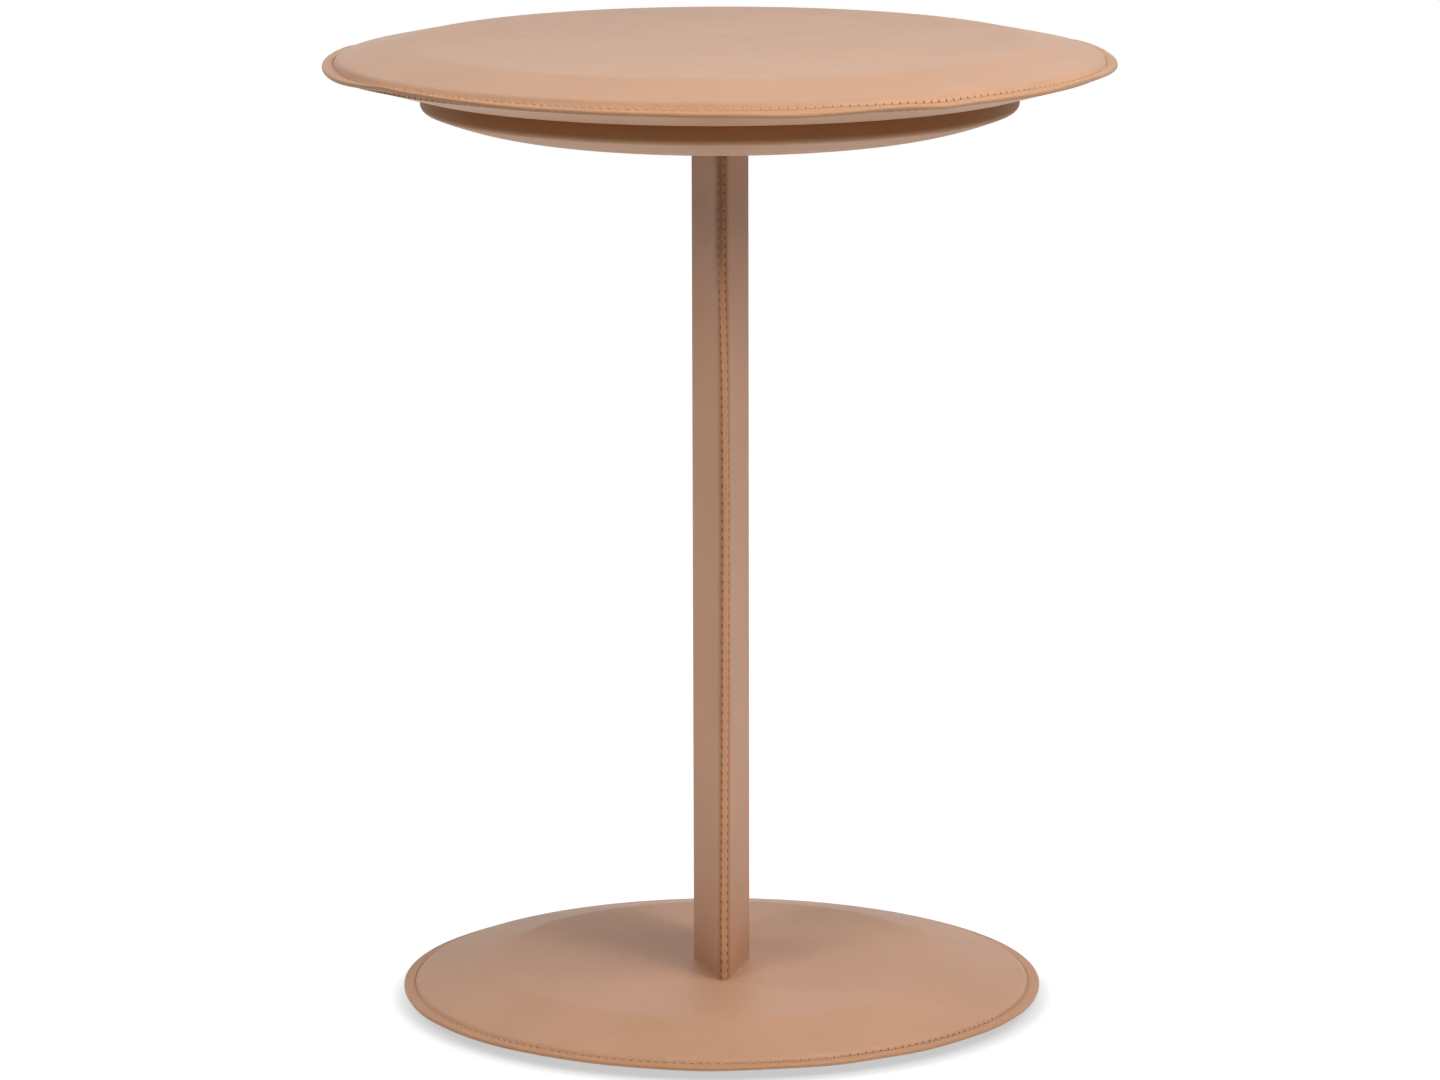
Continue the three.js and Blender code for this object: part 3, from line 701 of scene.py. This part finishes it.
# %% Ride, slot and replace
SKINS = {
    top_leather: "tabletop_upper_skin", under_leather: "tabletop_lower_skin", disc_leather: "mounting_disc_skin",
    left_leather: "column_left_skin", right_leather: "column_right_skin",
    base_leather: "base_upper_skin", base_under_leather: "base_lower_skin",
}
STANDS_FOR = [(piece, "saddle_leather", [node]) for piece, node in SKINS.items()]
STANDS_FOR += [(thread, "waxed_thread", []) for thread in (top_thread, base_thread, column_thread)]
for i, quarter in enumerate(QUARTERS):
    STANDS_FOR += [
        (glides[i], "nylon", ["glide_" + quarter]),
        (glide_screws[i], "zinc_plated_steel", ["glide_screw_" + quarter]),
        (top_screws[i], "zinc_plated_steel", ["tabletop_screw_" + quarter]),
        (top_washers[i], "zinc_plated_steel", ["tabletop_washer_" + quarter]),
    ]
for i, side in enumerate(("front", "rear")):
    STANDS_FOR.append((rod_washers[i], "zinc_plated_steel", ["tie_washer_bottom_" + side]))
for piece, slot, nodes in STANDS_FOR:
    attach(piece, "root")
    if nodes:
        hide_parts(*nodes)
print("new pieces:", len(STANDS_FOR))

# %% [markdown]
# ## Materials
# Colours are written as sRGB hex values, as a leather merchant's card gives them, and turned to the linear
# values that the shader works with. One small function adds a node, fills in its settings and draws its links.


# %% Colours and nodes
def linear(hex_colour):
    """An sRGB hex colour as linear RGBA"""
    values = [int(hex_colour[i : i + 2], 16) / 255 for i in (1, 3, 5)]
    return [v / 12.92 if v <= 0.04045 else ((v + 0.055) / 1.055) ** 2.4 for v in values] + [1.0]


def add(tree, kind, inputs=None, stops=None, **settings):
    """Adds a shader node of a kind. An input is given a value, an output or a node, whose first output it takes,
    and a colour ramp is given its stops."""
    node = tree.nodes.new("ShaderNode" + kind)
    for name, value in settings.items():
        setattr(node, name, value)
    for socket, value in (inputs or {}).items():
        if isinstance(value, bpy.types.Node):
            value = value.outputs[0]
        if isinstance(value, bpy.types.NodeSocket):
            tree.links.new(value, node.inputs[socket])
        else:
            node.inputs[socket].default_value = value
    if stops:
        while len(node.color_ramp.elements) < len(stops):
            node.color_ramp.elements.new(1.0)
        for element, (place, colour) in zip(node.color_ramp.elements, stops):
            element.position, element.color = place, linear(colour)
    return node


def new_material(name):
    """A named material with an empty node tree"""
    material = bpy.data.materials.new(name)
    material.use_nodes = True
    material.node_tree.nodes.clear()
    return material, material.node_tree


def finish_material(tree, shader):
    out = add(tree, "OutputMaterial", {"Surface": shader})
    tree.nodes.active = out


# %% [markdown]
# ### Saddle leather
# Vegetable-tanned cowhide, dyed through, waxed and glazed. It gives the eye a soft satin sheen, a fine closed
# grain and a slow drift of colour from the drum. Where the creasing iron and the burnisher have worked it,
# along the sewn margins, it turns a warmer orange. The groove is painted paler than the face, as painted light
# that lifts the shade that falls in it, and some skins carry painted light and shade in their tones as well.
# So its tones go by the distance from the axis or from the middle plane, or by the height.

# %% Tones of the leather
TAN = "#CA9C7C"
# Painted light: the base and underside faces are lighter copies of TAN, standing in for light that falls short
# there.
TAN_BASE_PAINTED_LIGHT = "#CE9F7F"
TAN_UNDER_PAINTED_LIGHT = "#D6A986"
# Painted light and shade on the disc: the dome is lighter where light from the floor falls, the wall darker in the
# shade under the top.
TAN_DOME_PAINTED_LIGHT = "#D0A688"
TAN_WALL_PAINTED_SHADE = "#BC885C"
# Painted light: the groove's tone is paler than the face, to lift the shade that falls in it.
TAN_GROOVE_PAINTED_LIGHT = "#D8AA86"
TAN_FLANGE = "#C89772"
TAN_EDGE = "#C69470"
# Partly burnish and partly painted shade: the fin's margin and sides are darkened for the shade in its root and on
# its sides.
FIN_MARGIN_BURNISH_AND_SHADE = "#C08D6A"
FIN_SIDE_BURNISH_AND_SHADE = "#AC7A56"
FIN_EDGE = "#D49D76"


def tones_across(tree, split, across, stops):
    """The place that a skin's tones go by, which is "round", "fin" or "height", and the tone there, from stops
    of a place and a colour"""
    if across == "round":
        flat = add(tree, "CombineXYZ", {"X": split.outputs["X"], "Y": split.outputs["Y"]})
        length = add(tree, "VectorMath", {0: flat}, operation="LENGTH")
        distance = length.outputs["Value"]
    elif across == "fin":
        distance = add(tree, "Math", {0: split.outputs["Y"]}, operation="ABSOLUTE")
    else:
        distance = split.outputs["Z"]
    start, end = stops[0][0], stops[-1][0]
    spread = add(tree, "MapRange", {"Value": distance, "From Min": start, "From Max": end})
    places = [((at - start) / (end - start), colour) for at, colour in stops]
    return distance, add(tree, "ValToRGB", {"Fac": spread}, stops=places)


# %% [markdown]
# Under the disc, the skin beside the fin is darkened as painted shade, for the shade that the disc casts there,
# mostly on the left skin, the side turned away from the stronger lamp. It fades away down the column and away
# from the fin.

# %% Painted shade beside the fin
FIN_SHADE_FROM, FIN_SHADE_FULL = 95 * MM, 58 * MM
FIN_SHADE_REACH, FIN_SHADE_MARGIN = 9 * MM, 2 * MM
FIN_SHADE_LEFT, FIN_SHADE_RIGHT = -1.2 * MM, 0.2 * MM
FIN_SHADE_ON_RIGHT = 0.15
FIN_SHADE_DARKNESS = 0.4


def painted_fin_shade(tree, split, distance):
    """How light the leather stays under the painted shade: 1 where there is none"""
    high_up = add(tree, "MapRange", {
        "Value": split.outputs["Z"], "From Min": column_top - FIN_SHADE_FROM, "From Max": column_top - FIN_SHADE_FULL,
    }, interpolation_type="SMOOTHSTEP")
    by_fin = add(tree, "MapRange", {
        "Value": distance, "From Min": fin_root - FIN_SHADE_REACH, "From Max": fin_root - FIN_SHADE_MARGIN,
    })
    on_left = add(tree, "MapRange", {
        "Value": split.outputs["X"], "From Min": FIN_SHADE_LEFT, "From Max": FIN_SHADE_RIGHT,
        "To Min": 1.0, "To Max": FIN_SHADE_ON_RIGHT,
    })
    # Painted shade: high up, near the fin and mostly on the left skin.
    fin_shade_share = add(tree, "Math", {0: high_up, 1: by_fin}, operation="MULTIPLY")
    fin_shade_share = add(tree, "Math", {0: fin_shade_share, 1: on_left}, operation="MULTIPLY")
    return add(tree, "Math", {0: fin_shade_share, 1: -FIN_SHADE_DARKNESS, 2: 1.0}, operation="MULTIPLY_ADD")


# %% [markdown]
# The awl goes through both skins between two stitches. Its holes are less than a millimetre across, so they
# are not cut: each is a dent in the relief with painted shade in it, kept faint on the table's left. They show
# best on the right of the table.

# %% Awl holes
HOLE_RIM, HOLE_END = 0.7, 1.25
HOLE_SHADE_SIDE_FROM, HOLE_SHADE_SIDE_FULL = -0.01, 0.1
ROUND_HOLE = (0.65 * MM, 0.65 * MM, 0.8, 0.22)
UNDER_HOLE = (0.65 * MM, 0.65 * MM, 0.8, 1.0)
FIN_HOLE = (0.7 * MM, 2.0 * MM, 0.5, 1.0)


def awl_holes(tree, split, across, distance, along, stitch_line, awl):
    """How deep in a hole a place is, from 0 to 1. along is the number of stitches in a turn or their pitch up the
    column. awl is half a hole's length and width, the darkness of its painted shade and what is left of it on the
    table's left."""
    if across == "round":
        turn = add(tree, "Math", {0: split.outputs["Y"], 1: split.outputs["X"]}, operation="ARCTAN2")
        holes = add(tree, "Math", {0: turn, 1: along / (2 * math.pi), 2: along / 4 + 0.5}, operation="MULTIPLY_ADD")
        pitch = 2 * math.pi * stitch_line / along
    else:
        holes = add(tree, "Math", {
            0: split.outputs["Z"], 1: 1 / along, 2: -column_bottom / along,
        }, operation="MULTIPLY_ADD")
        pitch = along
    apart = add(tree, "Math", {0: holes, 1: 0.5}, operation="PINGPONG")
    lengthwise = add(tree, "Math", {0: apart, 1: pitch / awl[0]}, operation="MULTIPLY")
    sideways = add(tree, "Math", {0: distance, 1: stitch_line}, operation="SUBTRACT")
    widthwise = add(tree, "Math", {0: sideways, 1: 1 / awl[1]}, operation="MULTIPLY")
    spot = add(tree, "CombineXYZ", {"X": lengthwise, "Y": widthwise})
    away = add(tree, "VectorMath", {0: spot}, operation="LENGTH")
    hole = add(tree, "MapRange", {
        "Value": away.outputs["Value"], "From Min": HOLE_RIM, "From Max": HOLE_END, "To Min": 1.0, "To Max": 0.0,
    }, interpolation_type="SMOOTHSTEP")
    # How much of a hole's painted shade and dent is kept, by the side of the table.
    hole_shade_by_side = add(tree, "MapRange", {
        "Value": split.outputs["X"], "From Min": HOLE_SHADE_SIDE_FROM, "From Max": HOLE_SHADE_SIDE_FULL, "To Min": awl[3], "To Max": 1.0,
    })
    return add(tree, "Math", {0: hole, 1: hole_shade_by_side}, operation="MULTIPLY")


# %% [markdown]
# The tone is made lighter and darker by patches of about 70 mm, mottling of about 10 mm and the grain. The
# mottling, the grain and a nap of about 0.5 mm give the relief. The real grain is about 0.3 mm, too fine to
# show here, so it is drawn at about 1 mm.

# %% Leather recipe
NOISE_LOW, NOISE_HIGH = 0.3, 0.7
DRIFT_SCALE, MOTTLE_SCALE, GRAIN_SCALE, NAP_SCALE = 14.0, 95.0, 900.0, 2100.0
DRIFT_SHADES = (0.955, 1.045)
MOTTLE_SHADES = (0.98, 1.02)
GRAIN_SHADES = (0.9, 1.05)
GRAIN_EDGE = 0.7
POLISHED = (0.38, 0.48)
SATIN = (0.50, 0.60)


def leather(name, polish, across, stops, along=None, stitch_line=None, awl=None):
    """A leather material. polish is its range of roughness. across and stops give its tones, and along,
    stitch_line and awl the holes of its seam, if it has one."""
    material, tree = new_material(name)
    place = add(tree, "TexCoord").outputs["Object"]
    split = add(tree, "SeparateXYZ", {"Vector": place})
    drift, mottle, nap = (
        add(tree, "TexNoise", {"Vector": place, "Scale": scale, "Detail": detail, "Roughness": rough})
        for scale, detail, rough in ((DRIFT_SCALE, 4.0, 0.55), (MOTTLE_SCALE, 3.0, 0.6), (NAP_SCALE, 2.0, 0.6))
    )
    grain = add(tree, "TexVoronoi", {"Vector": place, "Scale": GRAIN_SCALE, "Detail": 1.0, "Randomness": 1.0})
    distance, colour = tones_across(tree, split, across, stops)
    shades = []
    for source, low, high, (dark, light) in (
        (drift, NOISE_LOW, NOISE_HIGH, DRIFT_SHADES),
        (mottle, NOISE_LOW, NOISE_HIGH, MOTTLE_SHADES),
        (grain, 0.0, GRAIN_EDGE, GRAIN_SHADES),
    ):
        shades.append(add(tree, "MapRange", {
            "Value": source, "From Min": low, "From Max": high, "To Min": dark, "To Max": light,
        }))
    if across == "fin":
        shades.append(painted_fin_shade(tree, split, distance))
    hole = awl_holes(tree, split, across, distance, along, stitch_line, awl) if along else None
    if hole:
        # Painted shade: the colour darkens with the depth in an awl hole.
        shades.append(add(tree, "Math", {0: hole, 1: -awl[2], 2: 1.0}, operation="MULTIPLY_ADD"))
    for shade in shades:
        colour = add(tree, "VectorMath", {0: colour, "Scale": shade}, operation="SCALE")

    gloss = add(tree, "MapRange", {
        "Value": mottle, "From Min": NOISE_LOW, "From Max": NOISE_HIGH, "To Min": polish[0], "To Max": polish[1],
    })
    relief = add(tree, "Bump", {"Height": mottle, "Strength": 0.25, "Distance": 0.25 * MM})
    for height, strength, depth in ((grain, 0.6, 0.15 * MM), (nap, 0.2, 0.04 * MM)):
        relief = add(tree, "Bump", {"Height": height, "Strength": strength, "Distance": depth, "Normal": relief})
    if hole:
        relief = add(tree, "Bump", {
            "Height": hole, "Strength": 0.8, "Distance": 0.3 * MM, "Normal": relief,
        }, invert=True)
    shader = add(tree, "BsdfPrincipled", {
        "Base Color": colour, "Roughness": gloss, "Normal": relief,
        "IOR": 1.5, "Specular IOR Level": 0.15, "Sheen Weight": 0.12, "Sheen Roughness": 0.4,
    })
    finish_material(tree, shader)
    return material


# %% [markdown]
# Each skin then gets its own card of tones. A lens goes from its face over the groove, painted paler as painted
# light, to the burnished edge, and the base and underside faces are painted lighter, as painted light. The column
# goes from its side over a margin darkened partly by burnish and partly as painted shade to the cut edge of the
# fin, and the disc from a dome painted lighter, as painted light, up to a wall painted darker, as painted shade
# under the top.

# %% Leather finishes
HOLE_OUTSET = 0.15 * MM
cad_materials = len(bpy.data.materials)


def round_leather(name, face_tone, rim_radius, count, awl=ROUND_HOLE):
    """The finish of a lens, with its tones by the distance from the axis"""
    groove = rim_radius - FLANGE_WIDTH
    stops = [
        (rim_radius - 20 * MM, face_tone),
        (groove - 1.2 * MM, face_tone),
        (groove + 0.1 * MM, TAN_GROOVE_PAINTED_LIGHT),
        (groove + 1.2 * MM, TAN_FLANGE),
        (rim_radius - 0.6 * MM, TAN_FLANGE),
        (rim_radius, TAN_EDGE),
    ]
    return leather(name, POLISHED, "round", stops, count, groove + HOLE_OUTSET, awl)


top_finish = round_leather("saddle_leather_tabletop", TAN, TOP_RADIUS, TOP_STITCHES)
under_finish = round_leather("saddle_leather_underside", TAN_UNDER_PAINTED_LIGHT, TOP_RADIUS, TOP_STITCHES, UNDER_HOLE)
base_finish = round_leather("saddle_leather_base", TAN_BASE_PAINTED_LIGHT, BASE_RADIUS, BASE_STITCHES)
fin_stops = [
    (fin_root - 14 * MM, TAN),
    (fin_root - 5 * MM, TAN),
    (fin_root - 1.5 * MM, FIN_MARGIN_BURNISH_AND_SHADE),
    (fin_root + 1.5 * MM, FIN_SIDE_BURNISH_AND_SHADE),
    (fin_tip - 0.7 * MM, FIN_SIDE_BURNISH_AND_SHADE),
    (fin_tip - 0.25 * MM, FIN_EDGE),
    (fin_tip, FIN_EDGE),
]
column_finish = leather(
    "saddle_leather_column", SATIN, "fin", fin_stops, COLUMN_PITCH, fin_stitch_line, FIN_HOLE
)
wall_foot_height = disc_high.z - WALL_HEIGHT
# The disc's tones by height are painted light and shade: a lighter dome and a darker wall under the top.
disc_light_and_shade_stops = [
    (disc_low.z, TAN_DOME_PAINTED_LIGHT),
    (wall_foot_height - 1.5 * MM, TAN_DOME_PAINTED_LIGHT),
    (wall_foot_height + 3 * MM, TAN_WALL_PAINTED_SHADE),
    (disc_high.z, TAN_WALL_PAINTED_SHADE),
]
disc_finish = leather("saddle_leather_mounting_disc", SATIN, "height", disc_light_and_shade_stops)
print("leather finishes:", len(bpy.data.materials) - cad_materials)

# %% [markdown]
# ### Waxed thread
# Twisted linen, dyed to match and drawn through beeswax, with the plies showing as fine slanting stripes about
# half a millimetre apart. It is a little lighter than the leather, partly as painted light that lifts it in the
# shaded groove.

# %% Thread
PLY_SCALE = 620.0

thread_finish, tree = new_material("waxed_linen_thread")
place = add(tree, "TexCoord").outputs["Object"]
ply = add(tree, "TexWave", {
    "Vector": place, "Scale": PLY_SCALE, "Distortion": 1.5, "Detail": 1.0,
}, bands_direction="DIAGONAL")
# Partly painted light: both tones are lighter than the leather, to lift the thread in the shaded groove.
tone = add(tree, "ValToRGB", {"Fac": ply.outputs["Fac"]}, stops=[(0.0, "#C2936F"), (1.0, "#DDB18D")])
twist = add(tree, "Bump", {"Height": ply.outputs["Fac"], "Strength": 0.5, "Distance": 0.1 * MM})
shader = add(tree, "BsdfPrincipled", {"Base Color": tone, "Roughness": 0.55, "Normal": twist, "IOR": 1.45})
finish_material(tree, shader)
print("thread finish:", thread_finish.name)

# %% [markdown]
# ### What is inside
# The cores and fasteners hardly show, but each has its own finish, because the table can be looked at from
# below, through the screw pockets and spanner holes. The plywood's plies and the planed beech's grain are
# streaks along the board, the cast iron keeps the sand's skin, and the turned brass and nylon and the drawn,
# plated steel have the fine lines of the tool.

# %% Finishes of the inner parts
FINE_STREAKS = 6
STREAK_LOW, STREAK_HIGH = 0.32, 0.68


def streaked(name, tones, scale, stretch, roughness, metallic=0.0, bump=0.05 * MM):
    """A finish with stretched streaks: wood grain, plies or a turned or plated metal"""
    material, tree = new_material(name)
    place = add(tree, "TexCoord").outputs["Object"]
    pulled = add(tree, "Mapping", {"Vector": place, "Scale": stretch})
    streak = add(tree, "TexNoise", {"Vector": pulled, "Scale": scale, "Detail": 5.0, "Roughness": 0.6})
    fine = add(tree, "TexNoise", {"Vector": pulled, "Scale": scale * FINE_STREAKS, "Detail": 2.0})
    stops = [(STREAK_LOW, tones[0]), (STREAK_HIGH, tones[1])]
    tone = add(tree, "ValToRGB", {"Fac": streak}, stops=stops)
    rough = add(tree, "MapRange", {
        "Value": fine, "From Min": NOISE_LOW, "From Max": NOISE_HIGH,
        "To Min": roughness[0], "To Max": roughness[1],
    })
    relief = add(tree, "Bump", {"Height": fine, "Strength": 0.4, "Distance": bump})
    shader = add(tree, "BsdfPrincipled", {
        "Base Color": tone, "Roughness": rough, "Normal": relief, "Metallic": metallic,
    })
    finish_material(tree, shader)
    return material


birch_plywood = streaked("birch_plywood_sanded", ("#C9A672", "#E0C697"), 40.0, (0.3, 0.3, 16.0), (0.6, 0.8))
beech = streaked("beech_planed", ("#A97A4C", "#C79A68"), 160.0, (1.0, 1.0, 0.06), (0.55, 0.7))
cast_iron = streaked(
    "cast_iron_sand_cast", ("#3A3A3C", "#55545A"), 700.0, (1.0, 1.0, 1.0), (0.6, 0.85), 0.8, 0.25 * MM
)
zinc_steel = streaked(
    "zinc_plated_steel", ("#A9AEB4", "#C8CCD0"), 260.0, (1.0, 1.0, 0.4), (0.28, 0.42), 1.0, 0.02 * MM
)
brass = streaked("brass_turned", ("#B8924A", "#D2AE66"), 300.0, (1.0, 1.0, 5.0), (0.28, 0.42), 1.0, 0.02 * MM)
nylon = streaked("nylon_turned", ("#262220", "#332E2A"), 240.0, (1.0, 1.0, 6.0), (0.42, 0.55), 0.0, 0.03 * MM)
print("finishes in all:", len(bpy.data.materials) - cad_materials)

# %% [markdown]
# The finishes are given to the new pieces one by one, and to the CAD nodes that stay by the slot in the record.

# %% Give out the finishes
BY_SLOT = {
    "plywood": birch_plywood, "hardwood": beech, "cast_iron": cast_iron, "zinc_plated_steel": zinc_steel,
    "brass": brass, "nylon": nylon, "waxed_thread": thread_finish, "saddle_leather": disc_finish,
}
BY_PIECE = {
    top_leather: top_finish, under_leather: under_finish, base_leather: base_finish,
    base_under_leather: base_finish, left_leather: column_finish, right_leather: column_finish,
}


def give(piece, material):
    piece.data.materials.clear()
    piece.data.materials.append(material)


for piece, slot, _ in STANDS_FOR:
    give(piece, BY_PIECE.get(piece, BY_SLOT[slot]))
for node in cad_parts.values():
    give(node, BY_SLOT[node.data.materials[0].name])
print("CAD nodes with a finish:", len(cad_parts))

# %% [markdown]
# ## Studio
# A plain pale floor. For the light on the table it is matt white and fades out in the distance, with a ring
# of soft light glowing from the floor round the base. This ring is painted light and stands for what a large
# white studio throws back. To the camera and in reflections the floor glows white, and dimmer near the base's
# edge: a painted shadow round the base, which adds to the real shadow of its grey part.

# %% Floor
SWEEP_START, SWEEP_END, SWEEP_LEFT = 0.45, 1.1, 0.1
RING_START, RING_FULL, RING_FADE, RING_END = 0.19, 0.24, 0.42, 0.5
RING_LIGHT = 0.95
SHADOW_FULL, SHADOW_END = 0.1755, 0.2015
SHADOW_GLOW = 0.56
SHADOW_SHIFT = (0, 0.005, 0)


def background_rays(tree):
    """1 for the rays that should see a white background: from the camera, a reflection or a clear part"""
    rays = add(tree, "LightPath")
    seen = rays.outputs["Is Camera Ray"]
    for other in ("Is Glossy Ray", "Is Transmission Ray"):
        seen = add(tree, "Math", {0: seen, 1: rays.outputs[other]}, operation="MAXIMUM")
    return seen


bpy.ops.object.select_all(action="DESELECT")
bpy.ops.mesh.primitive_plane_add(size=24)
floor = bpy.context.object
floor.name = "studio_floor"
floor_paint, tree = new_material("matt_white_floor")
place = add(tree, "TexCoord").outputs["Object"]
away = add(tree, "VectorMath", {0: place}, operation="LENGTH")
sweep = add(tree, "MapRange", {
    "Value": away.outputs["Value"], "From Min": SWEEP_START, "From Max": SWEEP_END,
    "To Min": 1.0, "To Max": SWEEP_LEFT,
}, interpolation_type="SMOOTHSTEP")
bounce = add(tree, "VectorMath", {0: linear("#F4F4F5")[:3], "Scale": sweep}, operation="SCALE")
beside = add(tree, "MapRange", {
    "Value": away.outputs["Value"], "From Min": RING_START, "From Max": RING_FULL,
    "To Min": 0.0, "To Max": RING_LIGHT,
}, interpolation_type="SMOOTHSTEP")
# Painted light: the floor glows in this ring round the base, though it is no lamp.
near = add(tree, "MapRange", {
    "Value": away.outputs["Value"], "From Min": RING_FADE, "From Max": RING_END, "To Min": 1.0, "To Max": 0.0,
}, interpolation_type="SMOOTHSTEP")
ring = add(tree, "Math", {0: beside, 1: near}, operation="MULTIPLY")
lit = add(tree, "Emission", {"Strength": ring})
matt = add(tree, "BsdfDiffuse", {"Color": bounce})
paint = add(tree, "AddShader", {0: matt, 1: lit})

# Painted shadow: seen directly, the floor's glow dims near the base's edge.
shifted = add(tree, "VectorMath", {0: place, 1: SHADOW_SHIFT}, operation="ADD")
from_base = add(tree, "VectorMath", {0: shifted}, operation="LENGTH")
glow_with_painted_shadow = add(tree, "MapRange", {
    "Value": from_base.outputs["Value"], "From Min": SHADOW_FULL, "From Max": SHADOW_END,
    "To Min": SHADOW_GLOW, "To Max": 1.0,
}, interpolation_type="SMOOTHSTEP")
shaded = add(tree, "BsdfDiffuse", {"Color": linear("#7C7C80")})
glow = add(tree, "Emission", {"Color": linear("#FFFFFF"), "Strength": glow_with_painted_shadow})
bright = add(tree, "AddShader", {0: shaded, 1: glow})
mixed = add(tree, "MixShader", {0: background_rays(tree), 1: paint, 2: bright})
add(tree, "OutputMaterial", {"Surface": mixed})
give(floor, floor_paint)
print("floor across:", round(floor.dimensions.x, 1), "m")

# %% [markdown]
# The world is white in the same way, and gives the table next to no light. Five soft lamps do that: a small one
# on each side in front, the right one a little stronger, as the shadows on the base show, a large one high on
# the right, and two faint ones on the right and behind on the left.

# %% World and lamps
LAMP_AIM = (0, 0, 0.3)
AMBIENT = 0.02
LAMPS = [
    ("key_softbox", (0.78, -0.93, 1.182), 0.4, 6.0),
    ("fill_softbox", (-0.78, -0.93, 1.182), 0.4, 5.5),
    ("high_right_softbox", (0.482, -0.575, 1.599), 0.7, 7.5),
    ("right_softbox", (1.11, -0.297, 1.264), 0.7, 3.5),
    ("rear_left_softbox", (-1.08, 0.393, 1.264), 0.7, 3.4),
]

world = bpy.data.worlds.new("studio")
bpy.context.scene.world = world
world.use_nodes = True
tree = world.node_tree
tree.nodes.clear()
ambient = add(tree, "Background", {"Color": linear("#F4F6FA"), "Strength": AMBIENT})
white = add(tree, "Background", {"Color": linear("#FFFFFF"), "Strength": 1.0})
mixed = add(tree, "MixShader", {0: background_rays(tree), 1: ambient, 2: white})
add(tree, "OutputWorld", {"Surface": mixed})

for name, place, size, power in LAMPS:
    lamp = bpy.data.objects.new(name, bpy.data.lights.new(name, "AREA"))
    bpy.context.scene.collection.objects.link(lamp)
    lamp.data.size = size
    lamp.data.energy = power
    lamp.location = place
    lamp.rotation_euler = (Vector(LAMP_AIM) - Vector(place)).to_track_quat("-Z", "Y").to_euler()
print("lamps:", len(LAMPS))

# %% View
bpy.context.scene.view_settings.view_transform = "Standard"
